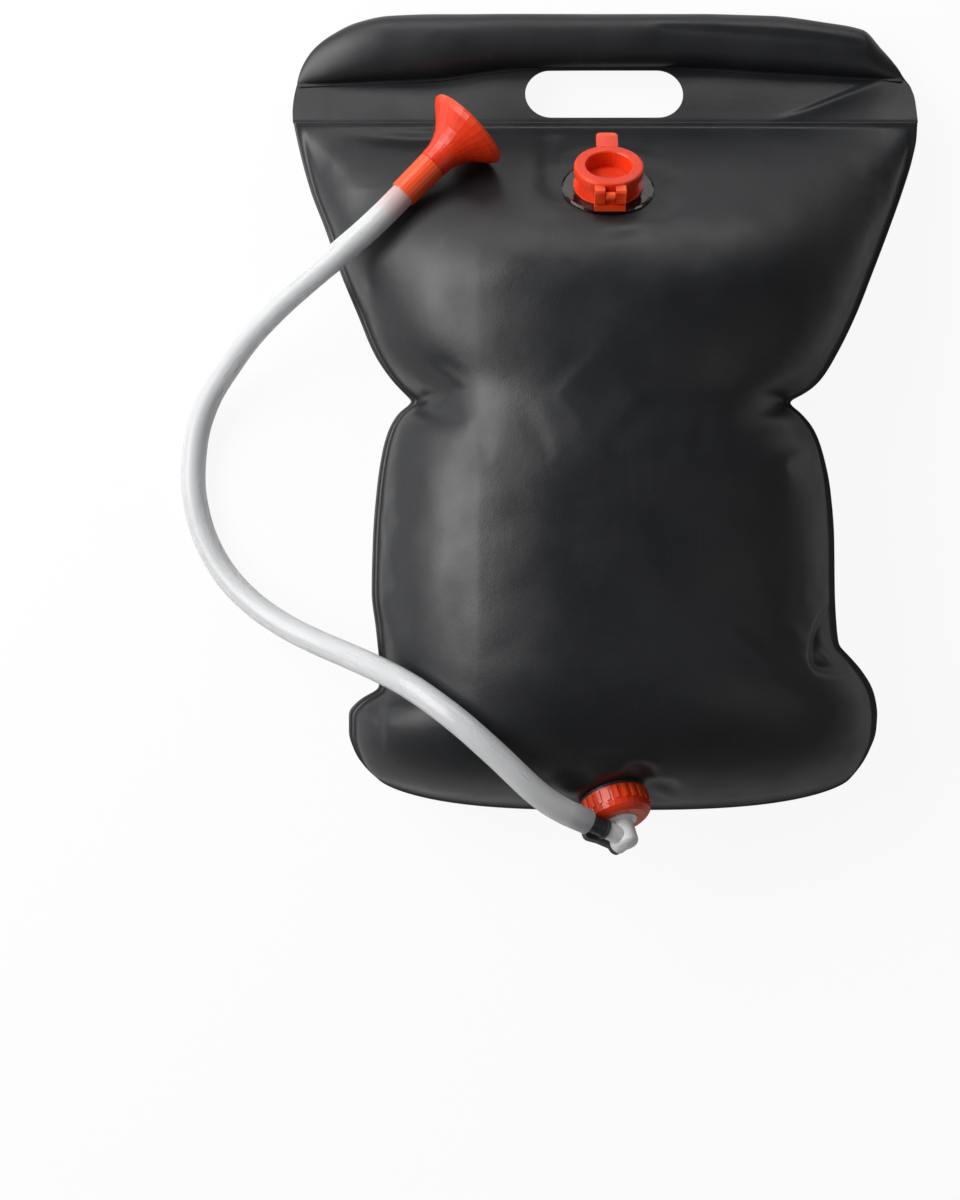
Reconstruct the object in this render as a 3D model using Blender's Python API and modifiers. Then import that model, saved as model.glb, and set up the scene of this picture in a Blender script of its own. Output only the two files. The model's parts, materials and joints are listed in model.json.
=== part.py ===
"""Camp shower bag: a filled PVC water bag on its back, with handle, fill cap, tap, hose and shower head.

Metres, +Z up out of the black front, +Y toward the handle, +X to the right as seen from the front.
The origin is the middle of the footprint, on the surface that the back rests on.
"""
import math

import bmesh
import bpy
from mathutils import Matrix, Vector

# Water chamber: overall sizes
HALF_WIDTH = 0.2025
CHAMBER_LENGTH = 0.4215
CORNER_Y = -0.2245
BOTTOM_SAG = 0.022
FRONT_CROWN = 0.085
BACK_CROWN = 0.060
SEAM_HEIGHT = 0.038
WELD_HEIGHT = 0.027
LIP_WIDTH = 0.004
LIP_THICKNESS = 0.0012
BOTTOM_ROUND = 0.091
TOP_ROUND = 0.120
BACK_ROUND = 0.070
SEAM_GAP = 0.0003
GAP = 0.0003

# Rows of the chamber: share of its length, left edge and right edge as shares of the half width
CHAMBER_ROW_SHARES = (
    (0.000, -0.724, 0.780),
    (0.015, -0.763, 0.800),
    (0.038, -0.795, 0.828),
    (0.068, -0.812, 0.853),
    (0.095, -0.810, 0.861),
    (0.115, -0.778, 0.856),
    (0.132, -0.716, 0.846),
    (0.158, -0.712, 0.815),
    (0.178, -0.715, 0.780),
    (0.198, -0.719, 0.740),
    (0.225, -0.725, 0.733),
    (0.280, -0.738, 0.727),
    (0.360, -0.734, 0.725),
    (0.434, -0.722, 0.713),
    (0.485, -0.707, 0.692),
    (0.523, -0.686, 0.664),
    (0.553, -0.648, 0.615),
    (0.567, -0.606, 0.575),
    (0.583, -0.640, 0.640),
    (0.600, -0.673, 0.680),
    (0.640, -0.729, 0.733),
    (0.700, -0.782, 0.795),
    (0.765, -0.838, 0.850),
    (0.835, -0.889, 0.907),
    (0.890, -0.933, 0.949),
    (0.940, -0.963, 0.982),
    (0.975, -0.980, 0.997),
    (1.000, -0.991, 1.000),
)
COLUMNS = 14
SAG_REACH_SHARE = 0.35
SEAM_FALL_SHARE = 0.60
WAIST_SHARE = 0.567
WAIST_SPREAD_SHARE = 0.07
WAIST_DIP_SHARE = 0.05
SAG_CORNER_POWER = 3
SAG_POWER = 0.8
CROWN_POWER = 2.4
PROBE_SHARE = 0.005

# Handle: a flat web with a hand slot, and a sleeve round a stiff rod
HANDLE_HEIGHT = 0.0722
WEB_THICKNESS = 0.0012
SLOT_LENGTH = 0.1024
SLOT_WIDTH = 0.0335
SLOT_RISE = 0.0190
SLOT_SHIFT = 0.0005
SLEEVE_HEIGHT = 0.015
SLEEVE_SEGMENTS = 10
ROD_RADIUS = 0.0105
ROD_WALL = 0.0020
ROD_HALF_LENGTH = 0.135
ROD_SHIFT = 0.000
ROD_SHARE = 0.740
# Stations of the sleeve: X as a share of the half width, lower and upper edge as shares of the handle
# height above the chamber weld, and thickness as a share of the sleeve height
SLEEVE_STATION_SHARES = (
    (-0.980, 0.365, 0.475, 0.06),
    (-0.929, 0.374, 0.694, 0.34),
    (-0.870, 0.382, 0.820, 0.60),
    (-0.788, 0.394, 0.928, 0.82),
    (-0.684, 0.408, 0.986, 0.94),
    (-0.533, 0.428, 1.000, 1.00),
    (-0.290, 0.512, 1.000, 1.00),
    (0.000, 0.518, 1.000, 1.00),
    (0.300, 0.520, 1.000, 1.00),
    (0.541, 0.482, 0.983, 1.00),
    (0.709, 0.456, 0.925, 0.92),
    (0.834, 0.435, 0.861, 0.74),
    (0.895, 0.426, 0.692, 0.40),
    (0.950, 0.418, 0.475, 0.06),
)
# Upper corners of the web as X shares of the half width, where it stops short of the sleeve's ends
WEB_LEFT_SHARE = -0.991
WEB_RIGHT_SHARE = 1.000

# Fill port: clear flange, neck, and hinged cap with a pull tab
FILL_X = -0.001
FILL_FROM_WELD = 0.053
FILL_SEAT_DEPTH = 0.0022
FLANGE_RADIUS = 0.0288
FLANGE_THICKNESS = 0.0015
NECK_BORE = 0.0166
NECK_WALL = 0.0023
NECK_FOOT_RADIUS = 0.0215
NECK_FOOT_THICKNESS = 0.0015
NECK_HEIGHT = 0.0095
CAP_RADIUS = 0.0215
CAP_THICKNESS = 0.0057
CAP_EDGE = 0.0014
CAP_BEVEL_SHARE = 0.3
CUP_RADIUS = 0.0142
CUP_DEPTH = 0.0094
CUP_DOME = 0.0006
PLUG_CLEARANCE = 0.0004
PLUG_TAPER = 0.0017
PLUG_FLOOR = 0.0030
TAB_WIDTH = 0.0134
TAB_LENGTH = 0.0125
TAB_THICKNESS = 0.0024
TAB_LIFT = math.radians(14)
TAB_CORNER = 0.0028
LUG_WIDTH = 0.0062
LUG_SPACING = 0.0066
LUG_DEPTH = 0.0046
LUG_DROP = 0.0054
LUG_TOP_SHARE = 0.6
HINGE_REACH = 0.0034
PIN_RADIUS = 0.0012
PIN_CLEARANCE = 0.0004
KNUCKLE_RADIUS = 0.0026
KNUCKLE_CLEARANCE = 0.0004
FILL_POCKET_DEPTH = 0.022

# Outlet: spout welded to the bag, gasket, screwed collar and tap
OUTLET_X = 0.0025
OUTLET_FROM_EDGE = 0.0125
OUTLET_SEAT_DEPTH = 0.0010
OUTLET_TILT = math.radians(60)
OUTLET_HEADING = math.radians(-74)
TAP_ROLL = math.radians(-133)
SEAT_PAD_RADIUS = 0.0225
SEAT_PAD_SPREAD = 0.0300
SEAT_PAD_DEPTH = 0.0140
SEAT_CUT_RADIUS = 0.0240
SPOUT_FLANGE_RADIUS = 0.0205
SPOUT_FLANGE_THICKNESS = 0.0015
SPOUT_BORE = 0.0090
SPOUT_WALL = 0.0052
SPOUT_HEIGHT = 0.0102
OUTLET_POCKET_DEPTH = 0.018
GASKET_THICKNESS = 0.0013
COLLAR_RADIUS = 0.0208
COLLAR_END_RADIUS = 0.0165
COLLAR_WALL_CLEARANCE = 0.0005
COLLAR_LIFT = 0.0004
COLLAR_END_WALL = 0.0025
COLLAR_APERTURE = 0.0112
COLLAR_SHOULDER_SHARE = 0.62
COLLAR_ROUND_SHARE = 0.28
COLLAR_RIBS = 24
RIB_HEIGHT = 0.0008
RIB_WIDTH = 0.0022
RIB_LENGTH_SHARE = 0.86
TAP_FLANGE_THICKNESS = 0.0017
TAP_BOSS_RADIUS = 0.0106
TAP_BOSS_PROUD = 0.0006
TAP_BARREL_RADIUS = 0.0074
TAP_BARREL_LENGTH = 0.0182
TAP_DOME = 0.0045
TAP_DOME_ANGLES = (math.radians(26), math.radians(52), math.radians(72))
TAP_WATERWAY = 0.0026
BRANCH_AT = 0.0118
BRANCH_ANGLE = math.radians(110)
BRANCH_RADIUS = 0.0055
BRANCH_LENGTH = 0.0152
COCK_RADIUS = 0.0040
COCK_CLEARANCE = 0.0003
COCK_BOSS_WALL = 0.0018
COCK_BLIND_WALL = 0.0030
COCK_BOSS_REACH = 0.0088
LEVER_LENGTH = 0.0245
LEVER_WIDTH = 0.0050
LEVER_TIP_WIDTH = 0.0076
LEVER_TIP_ANGLE = 110
LEVER_THICKNESS = 0.0032
LEVER_STAND_OFF = 0.0004
COCK_HEAD_RADIUS = 0.0050
TAIL_RADIUS = 0.0056
TAIL_RING_RADIUS = 0.0063
TAIL_RING_THICKNESS = 0.0016
TAIL_LENGTH = 0.0130
TAIL_NIPPLE_RADIUS = 0.0036
TAIL_NIPPLE_LENGTH = 0.0070
TAIL_BORE = 0.0022
TAIL_GROOVE = 0.0006
TAIL_GROOVES = 3
TAIL_BARB_SHARE = 0.25
TAIL_STEP_SHARE = 0.1
TAIL_STEP_DEPTH_SHARE = 0.6

# Turns of one round cutter against another, as shares of a facet, so that no edges line up
COCK_ROLL_SHARE = 0.5
INLET_ROLL_SHARE = 0.3
OUTLET_ROLL_SHARE = 0.4

# Hose and its route out of the tap, over the bag, round on the ground and back up: X as a share of the
# half width, Y as a share of the way from tap to head, and height as a share of the bag's
HOSE_DIAMETER = 0.016
HOSE_STEP_DIAMETERS = 2.0
REST_RING_SHARE = 0.9
HOSE_ROUTE_SHARES = (
    (-0.1886, 0.0333, 0.9024),
    (-0.2385, 0.0543, 0.9293),
    (-0.2854, 0.0780, 0.9463),
    (-0.3333, 0.1024, 0.9520),
    (-0.3852, 0.1273, 0.9520),
    (-0.4385, 0.1518, 0.9350),
    (-0.4928, 0.1739, 0.8992),
    (-0.5956, 0.2100, 0.7821),
    (-0.6948, 0.2360, 0.6390),
    (-0.7975, 0.2578, 0.4846),
    (-0.9057, 0.2799, 0.3496),
    (-1.0173, 0.3074, 0.2358),
    (-1.1259, 0.3454, 0.1512),
    (-1.2202, 0.3963, 0.0943),
    (-1.2869, 0.4600, 0.0683),
    (-1.3195, 0.5312, 0.0667),
    (-1.3200, 0.5910, 0.0675),
    (-1.3027, 0.6453, 0.0846),
    (-1.2622, 0.6957, 0.1317),
    (-1.2000, 0.7412, 0.2065),
    (-1.1205, 0.7882, 0.3187),
    (-1.0281, 0.8308, 0.4276),
    (-0.9373, 0.8664, 0.5285),
    (-0.8464, 0.8997, 0.6228),
    (-0.8000, 0.9179, 0.6602),
    (-0.7501, 0.9387, 0.6829),
)

# Shower head: sleeve on the hose, sliding horn with a perforated face
HEAD_X_SHARE = -0.6296
HEAD_FROM_WELD = 0.0589
HEAD_REST_CLEARANCE = 0.0002
HEAD_HEADING = math.radians(46)
HEAD_FALL = math.radians(4.5)
SLEEVE_RADIUS = 0.0090
SLEEVE_FLARE = 0.0004
SLEEVE_LENGTH = 0.0260
SLEEVE_WALL = 0.0014
SOCKET_CLEARANCE = 0.0003
SOCKET_DEPTH = 0.0080
SLEEVE_WEB = 0.0020
SPIGOT_RADIUS = 0.0042
SPIGOT_LENGTH = 0.0110
SPIGOT_BORE = 0.0025
SPIGOT_END = 0.0018
PORT_RADIUS = 0.0013
SEAL_WIDTH = 0.0018
HORN_LENGTH = 0.0590
HORN_NECK_DEPTH = 0.0100
HORN_NECK_RADIUS = 0.0073
HORN_WALL = 0.0014
HORN_SHOULDER = 0.0095
HORN_RIM_RADIUS = 0.0275
HORN_LIP = 0.0016
PLATE_THICKNESS = 0.0014
PLATE_CROWN = 0.0016
PLATE_MIDWAY_SHARE = 0.75
HOLE_RADIUS = 0.0007
HOLE_RINGS = 3
HOLES_IN_FIRST_RING = 6
HOLE_SIDES = 6
HOLE_MARGIN_SHARE = 0.5
# Flare of the horn: share of the length from shoulder to rim, share of the growth in radius
HORN_FLARE_SHARES = (
    (0.00, 0.00),
    (0.22, 0.03),
    (0.38, 0.11),
    (0.52, 0.23),
    (0.66, 0.42),
    (0.79, 0.65),
    (0.90, 0.87),
    (0.96, 0.97),
)

ROUND_STEPS = 32
FINE_STEPS = 24
SMALL_STEPS = 8
CORNER_STEPS = 4
CURVE_STEPS = 12
SURFACE_PASSES = 20
OVERRUN = 0.002
MERGE = 0.00001
SHARP_EDGE = math.radians(35)
QUARTER_TURN = math.pi / 2

BLACK_PVC = ((0.012, 0.012, 0.013), 0.38)
CLEAR_PVC = ((0.45, 0.43, 0.40), 0.15)
RED_PLASTIC = ((0.62, 0.035, 0.008), 0.30)
WHITE_PLASTIC = ((0.62, 0.63, 0.64), 0.35)
BLACK_PLASTIC = ((0.018, 0.019, 0.021), 0.40)
CLEAR_HOSE = ((0.68, 0.69, 0.71), 0.22)
GREY_RUBBER = ((0.06, 0.06, 0.06), 0.70)


def clear_scene():
    for obj in list(bpy.data.objects):
        bpy.data.objects.remove(obj, do_unlink=True)


def new_collection(name):
    collection = bpy.data.collections.new(name)
    bpy.context.scene.collection.children.link(collection)
    return collection


def make_material(name, finish):
    colour, roughness = finish
    material = bpy.data.materials.new(name)
    material.use_nodes = True
    shader = material.node_tree.nodes["Principled BSDF"]
    shader.inputs["Base Color"].default_value = (*colour, 1.0)
    shader.inputs["Roughness"].default_value = roughness
    shader.inputs["Metallic"].default_value = 0.0
    material.diffuse_color = (*colour, 1.0)
    return material


def link_object(name, data, parent=None, location=(0, 0, 0), rotation=None):
    obj = bpy.data.objects.new(name, data)
    PARTS.objects.link(obj)
    obj.parent = parent
    obj.location = location
    if rotation is not None:
        obj.rotation_euler = rotation
    return obj


def finish_part(obj, finish):
    obj.data.materials.clear()
    obj.data.materials.append(make_material(obj.name + "_finish", finish))
    obj.data.shade_smooth()
    obj.data.set_sharp_from_angle(angle=SHARP_EDGE)
    return obj


def as_cutter(obj):
    PARTS.objects.unlink(obj)
    CUTTERS.objects.link(obj)
    obj.hide_render = True
    obj.display_type = "WIRE"
    return obj


def add_boolean(obj, other, operation):
    modifier = obj.modifiers.new(operation.lower(), "BOOLEAN")
    modifier.object = other
    modifier.operation = operation
    modifier.solver = "EXACT"
    return obj


def cut(obj, cutter):
    return add_boolean(obj, as_cutter(cutter), "DIFFERENCE")


def join(obj, other):
    return add_boolean(obj, as_cutter(other), "UNION")


def frame(name, location, rotation, parent=None):
    empty = bpy.data.objects.new(name, None)
    PARTS.objects.link(empty)
    empty.parent = parent
    empty.location = location
    empty.rotation_euler = rotation
    return empty


def turned(name, profile, parent, steps=ROUND_STEPS, location=(0, 0, 0), rotation=None, closed=False,
           roll=0):
    """A solid of revolution about local Z. The profile of (radius, height) runs down its outer side.

    Roll turns the facets by a share of one facet, so that crossing bores don't share edges.
    """
    start = 2 * math.pi * roll / steps
    mesh = bpy.data.meshes.new(name)
    count = len(profile)
    edges = [(i, i + 1) for i in range(count - 1)]
    if closed:
        edges.append((count - 1, 0))
    mesh.from_pydata([(r * math.cos(start), r * math.sin(start), z) for r, z in profile], edges, [])
    obj = link_object(name, mesh, parent, location, rotation)
    screw = obj.modifiers.new("turn", "SCREW")
    screw.axis = "Z"
    screw.steps = steps
    screw.render_steps = steps
    screw.use_merge_vertices = True
    screw.merge_threshold = MERGE
    screw.use_smooth_shade = True
    return obj


def cylinder(name, radius, low, high, parent, steps=FINE_STEPS, location=(0, 0, 0), rotation=None, roll=0):
    profile = [(0, high), (radius, high), (radius, low), (0, low)]
    return turned(name, profile, parent, steps, location, rotation, roll=roll)


def box(name, size, centre, parent, rotation=None):
    mesh = bpy.data.meshes.new(name)
    shape = bmesh.new()
    bmesh.ops.create_cube(shape, size=1.0)
    bmesh.ops.scale(shape, vec=size, verts=shape.verts)
    shape.to_mesh(mesh)
    shape.free()
    return link_object(name, mesh, parent, centre, rotation)


def plate_outline(name, points, thickness, parent, holes=()):
    """A flat plate from closed outlines in the local XY plane, centred on its own thickness."""
    curve = bpy.data.curves.new(name, "CURVE")
    curve.dimensions = "2D"
    curve.fill_mode = "BOTH"
    curve.extrude = thickness / 2
    for outline in (points, *holes):
        spline = curve.splines.new("POLY")
        spline.points.add(len(outline) - 1)
        for point, (x, y) in zip(spline.points, outline):
            point.co = (x, y, 0, 1)
        spline.use_cyclic_u = True
    return as_mesh(link_object(name, curve, parent))


def as_mesh(obj):
    """The evaluated curve as a welded mesh object of the same name."""
    graph = bpy.context.evaluated_depsgraph_get()
    mesh = bpy.data.meshes.new_from_object(obj.evaluated_get(graph))
    name, parent, place = obj.name, obj.parent, obj.matrix_local.copy()
    bpy.data.objects.remove(obj, do_unlink=True)
    shape = bmesh.new()
    shape.from_mesh(mesh)
    bmesh.ops.remove_doubles(shape, verts=shape.verts, dist=MERGE)
    bmesh.ops.recalc_face_normals(shape, faces=shape.faces)
    shape.to_mesh(mesh)
    shape.free()
    made = link_object(name, mesh, parent)
    made.matrix_local = place
    return made


def arc(centre, radius, start, end, steps):
    """Points on an arc in degrees, both ends included."""
    points = []
    for i in range(steps + 1):
        angle = math.radians(start + (end - start) * i / steps)
        points.append((centre[0] + radius * math.cos(angle), centre[1] + radius * math.sin(angle)))
    return points


def lerp(table, at):
    """The columns of a table of shares, read between its rows."""
    for low, high in zip(table, table[1:]):
        if at <= high[0]:
            step = (at - low[0]) / (high[0] - low[0])
            return [a + (b - a) * step for a, b in zip(low[1:], high[1:])]
    return list(table[-1][1:])


def smooth(step):
    step = min(1.0, max(0.0, step))
    return step * step * (3 - 2 * step)


# Surface of the water chamber


def bottom_sag(across, along):
    """How far the bottom edge hangs below its corners, fading out up the bag."""
    fade = max(0.0, 1 - along / SAG_REACH_SHARE)
    corners = max(0.0, 1 - abs(across) ** SAG_CORNER_POWER)
    return BOTTOM_SAG * corners ** SAG_POWER * fade * fade


def chamber_xy(across, along):
    left, right = lerp(CHAMBER_ROW_SHARES, along)
    x = HALF_WIDTH * (left + (right - left) * (across + 1) / 2)
    return x, CORNER_Y + CHAMBER_LENGTH * along - bottom_sag(across, along)


def seam_height(along):
    fall = smooth((along - SEAM_FALL_SHARE) / (1 - SEAM_FALL_SHARE))
    return SEAM_HEIGHT + (WELD_HEIGHT - SEAM_HEIGHT) * fall


def half_width_at(along):
    left, right = lerp(CHAMBER_ROW_SHARES, along)
    return HALF_WIDTH * (right - left) / 2


def crown_across(across, along):
    """Height across the bag, from 0 at the inner edge of the weld lip to 1 in the middle."""
    inner = 1 - LIP_WIDTH / half_width_at(along)
    return math.sqrt(max(0.0, 1 - (min(abs(across), inner) / inner) ** CROWN_POWER))


def from_bottom(across, along):
    sag = bottom_sag(across, along) - bottom_sag(across, 0)
    return CHAMBER_LENGTH * along - sag - LIP_WIDTH


def front_height(across, along):
    low = min(1.0, max(0.0, from_bottom(across, along) / BOTTOM_ROUND))
    high = min(1.0, max(0.0, (CHAMBER_LENGTH * (1 - along) - LIP_WIDTH) / TOP_ROUND))
    rise = math.sqrt(1 - (1 - low) ** 2) * math.sin(QUARTER_TURN * high)
    waist = math.exp(-(((along - WAIST_SHARE) / WAIST_SPREAD_SHARE) ** 2))
    crown = FRONT_CROWN * rise * (1 - WAIST_DIP_SHARE * waist)
    return seam_height(along) + LIP_THICKNESS + crown * crown_across(across, along)


def back_height(across, along):
    low = min(1.0, max(0.0, from_bottom(across, along) / BACK_ROUND))
    high = min(1.0, max(0.0, (CHAMBER_LENGTH * (1 - along) - LIP_WIDTH) / BACK_ROUND))
    rise = math.sqrt(1 - (1 - low) ** 2) * math.sqrt(1 - (1 - high) ** 2)
    depth = BACK_CROWN * rise * crown_across(across, along)
    return max(0.0, seam_height(along) - LIP_THICKNESS - depth)


def chamber_rows():
    lip = LIP_WIDTH / CHAMBER_LENGTH
    rows = [row[0] for row in CHAMBER_ROW_SHARES[1:-1] if lip < row[0] < 1 - lip]
    return [0.0, lip, *rows, 1 - lip, 1.0]


def chamber_columns(along):
    inner = 1 - LIP_WIDTH / half_width_at(along)
    swing = [math.sin(QUARTER_TURN * (2 * i / COLUMNS - 1)) for i in range(COLUMNS + 1)]
    return [-1.0, *[inner * s for s in swing], 1.0]


def surface_point(x, y):
    """The point of the front surface over X and Y."""
    along = (y - CORNER_Y) / CHAMBER_LENGTH
    for _ in range(SURFACE_PASSES):
        left, right = lerp(CHAMBER_ROW_SHARES, along)
        across = 2 * (x / HALF_WIDTH - left) / (right - left) - 1
        along = (y - CORNER_Y + bottom_sag(across, along)) / CHAMBER_LENGTH
    return Vector((x, y, front_height(across, along)))


def skin_height(x, y):
    """Height of the front over X and Y, or of the ground beside the bag."""
    along = (y - CORNER_Y) / CHAMBER_LENGTH
    left, right = lerp(CHAMBER_ROW_SHARES, along)
    over = left <= x / HALF_WIDTH <= right and bottom_sag(0, 0) / -CHAMBER_LENGTH < along < 1
    return surface_point(x, y).z if over else 0


def surface_slope(x, y):
    step = HALF_WIDTH * PROBE_SHARE
    rise_y = surface_point(x, y + step).z - surface_point(x, y - step).z
    return math.atan(rise_y / (2 * step))


def chamber_half(name, outer_height, offset):
    """One half of the chamber as a grid with a skin outside and the flat seam face inside."""
    shape = bmesh.new()
    skin, seam = [], []
    for along in chamber_rows():
        outer_row, seam_row = [], []
        for across in chamber_columns(along):
            x, y = chamber_xy(across, along)
            outer_row.append(shape.verts.new((x, y, outer_height(across, along))))
            seam_row.append(shape.verts.new((x, y, seam_height(along) + offset)))
        skin.append(outer_row)
        seam.append(seam_row)
    loft_between(shape, skin, seam)
    mesh = bpy.data.meshes.new(name)
    shape.to_mesh(mesh)
    shape.free()
    return link_object(name, mesh)


def loft_between(shape, skin, seam):
    """Faces of both grids and the wall that joins their borders, all facing out."""
    rows, columns = len(skin), len(skin[0])
    for i in range(rows - 1):
        for j in range(columns - 1):
            shape.faces.new((skin[i][j], skin[i][j + 1], skin[i + 1][j + 1], skin[i + 1][j]))
            shape.faces.new((seam[i][j], seam[i + 1][j], seam[i + 1][j + 1], seam[i][j + 1]))
    border = [(0, j) for j in range(columns)]
    border += [(i, columns - 1) for i in range(1, rows)]
    border += [(rows - 1, j) for j in range(columns - 2, -1, -1)]
    border += [(i, 0) for i in range(rows - 2, 0, -1)]
    for (a, b), (c, d) in zip(border, border[1:] + border[:1]):
        shape.faces.new((seam[a][b], seam[c][d], skin[c][d], skin[a][b]))
    bmesh.ops.triangulate(shape, faces=shape.faces)
    bmesh.ops.recalc_face_normals(shape, faces=shape.faces)


def build_chamber(fill, outlet):
    front = chamber_half("bag_front", front_height, SEAM_GAP / 2)
    cut(front, cylinder("fill_seat_cut", FLANGE_RADIUS + GAP, 0, FLANGE_RADIUS, fill, ROUND_STEPS))
    cut(front, cylinder("fill_pocket_cut", NECK_BORE, -FILL_POCKET_DEPTH, OVERRUN, fill))
    pad = [(0, 0), (SEAT_PAD_RADIUS, 0), (SEAT_PAD_SPREAD, -SEAT_PAD_DEPTH), (0, -SEAT_PAD_DEPTH)]
    join(front, turned("outlet_pad", pad, outlet))
    cut(front, cylinder("outlet_seat_cut", SEAT_CUT_RADIUS, 0, SEAT_CUT_RADIUS, outlet, ROUND_STEPS))
    cut(front, cylinder("outlet_pocket_cut", SPOUT_BORE, -OUTLET_POCKET_DEPTH, OVERRUN, outlet))
    finish_part(front, BLACK_PVC)
    finish_part(chamber_half("bag_back", back_height, -SEAM_GAP / 2), BLACK_PVC)


# Handle


def weld_y():
    return CORNER_Y + CHAMBER_LENGTH


def build_web():
    """The welded double sheet between chamber and sleeve, leaning down to the sleeve's middle plane."""
    low_share_in_middle = lerp(SLEEVE_STATION_SHARES, 0)[0]
    reach = HANDLE_HEIGHT * low_share_in_middle
    fall = math.atan2(WELD_HEIGHT - SLEEVE_HEIGHT, reach)
    stretch = 1 / math.cos(fall)
    upper = []
    for x_share, low_share, _, _ in reversed(SLEEVE_STATION_SHARES):
        upper.append((HALF_WIDTH * x_share, (HANDLE_HEIGHT * low_share - 2 * GAP) * stretch))
    outline = [(HALF_WIDTH * WEB_LEFT_SHARE, 0), (HALF_WIDTH * WEB_RIGHT_SHARE, 0), *upper]
    half = SLOT_LENGTH / 2 - SLOT_WIDTH / 2
    rise = SLOT_RISE * stretch
    left_end = arc((SLOT_SHIFT - half, rise), SLOT_WIDTH / 2, 90, 270, SMALL_STEPS)
    right_end = arc((SLOT_SHIFT + half, rise), SLOT_WIDTH / 2, -90, 90, SMALL_STEPS)
    tilt = frame("web_frame", (0, weld_y() + GAP, WELD_HEIGHT), (-fall, 0, 0))
    web = plate_outline("handle_web", outline, WEB_THICKNESS, tilt, [left_end + right_end])
    return finish_part(web, BLACK_PVC)


def rod_centre():
    return (ROD_SHIFT, weld_y() + HANDLE_HEIGHT * ROD_SHARE, SLEEVE_HEIGHT)


def sleeve_half(name, side):
    """Half of the sleeve as a loft of half ovals along X, open inside for the rod."""
    shape = bmesh.new()
    rings = []
    for x_share, low_share, high_share, thick_share in SLEEVE_STATION_SHARES:
        low = weld_y() + HANDLE_HEIGHT * low_share
        high = weld_y() + HANDLE_HEIGHT * high_share
        middle, half = (low + high) / 2, (high - low) / 2
        ring = []
        for i in range(SLEEVE_SEGMENTS + 1):
            angle = math.pi * i / SLEEVE_SEGMENTS
            rise = SEAM_GAP / 2 + (SLEEVE_HEIGHT * thick_share - SEAM_GAP / 2) * math.sin(angle)
            point = (HALF_WIDTH * x_share, middle - half * math.cos(angle), SLEEVE_HEIGHT + side * rise)
            ring.append(shape.verts.new(point))
        rings.append(ring)
    for one, two in zip(rings, rings[1:]):
        count = len(one)
        for i in range(count):
            j = (i + 1) % count
            shape.faces.new((one[i], one[j], two[j], two[i]))
    shape.faces.new(rings[0])
    shape.faces.new(list(reversed(rings[-1])))
    bmesh.ops.triangulate(shape, faces=shape.faces)
    bmesh.ops.recalc_face_normals(shape, faces=shape.faces)
    mesh = bpy.data.meshes.new(name)
    shape.to_mesh(mesh)
    shape.free()
    half_sleeve = link_object(name, mesh)
    reach = ROD_HALF_LENGTH + GAP
    turn = (0, QUARTER_TURN, 0)
    pocket = cylinder(name + "_cut", ROD_RADIUS + GAP, -reach, reach, None, FINE_STEPS, rod_centre(), turn)
    cut(half_sleeve, pocket)
    return finish_part(half_sleeve, BLACK_PVC)


def build_handle():
    build_web()
    sleeve_half("sleeve_front", 1)
    sleeve_half("sleeve_back", -1)
    bore = ROD_RADIUS - ROD_WALL
    tube = [(ROD_RADIUS, ROD_HALF_LENGTH), (ROD_RADIUS, -ROD_HALF_LENGTH)]
    tube += [(bore, -ROD_HALF_LENGTH), (bore, ROD_HALF_LENGTH)]
    turn = (0, QUARTER_TURN, 0)
    rod = turned("handle_rod", tube, None, FINE_STEPS, rod_centre(), turn, closed=True)
    finish_part(rod, WHITE_PLASTIC)


# Fill port


def fill_frame():
    y = weld_y() - FILL_FROM_WELD
    slope = surface_slope(FILL_X, y)
    seat = surface_point(FILL_X, y)
    normal = Vector((0, -math.sin(slope), math.cos(slope)))
    return frame("fill_axis", seat - normal * FILL_SEAT_DEPTH, (slope, 0, 0))


def neck_levels():
    """Heights over the seat: under the neck's foot, the neck's top and the cap's top."""
    foot = GAP + FLANGE_THICKNESS + GAP
    top = foot + NECK_HEIGHT
    return foot, top, top + GAP + CAP_THICKNESS


def hinge_place():
    """Axis of the cap's pin: distance behind the neck's axis and height over the seat."""
    _, top, _ = neck_levels()
    return CAP_RADIUS + HINGE_REACH, top + GAP - KNUCKLE_CLEARANCE


def build_fill_port(fill):
    foot, top, face = neck_levels()
    ring = [(FLANGE_RADIUS, GAP + FLANGE_THICKNESS / 2), (FLANGE_RADIUS, GAP), (NECK_BORE, GAP)]
    ring += [(NECK_BORE, GAP + FLANGE_THICKNESS), (FLANGE_RADIUS - FLANGE_THICKNESS, GAP + FLANGE_THICKNESS)]
    finish_part(turned("fill_flange", ring, fill, closed=True), CLEAR_PVC)
    build_neck(fill, foot, top)
    build_cap(fill, top, face)


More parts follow.
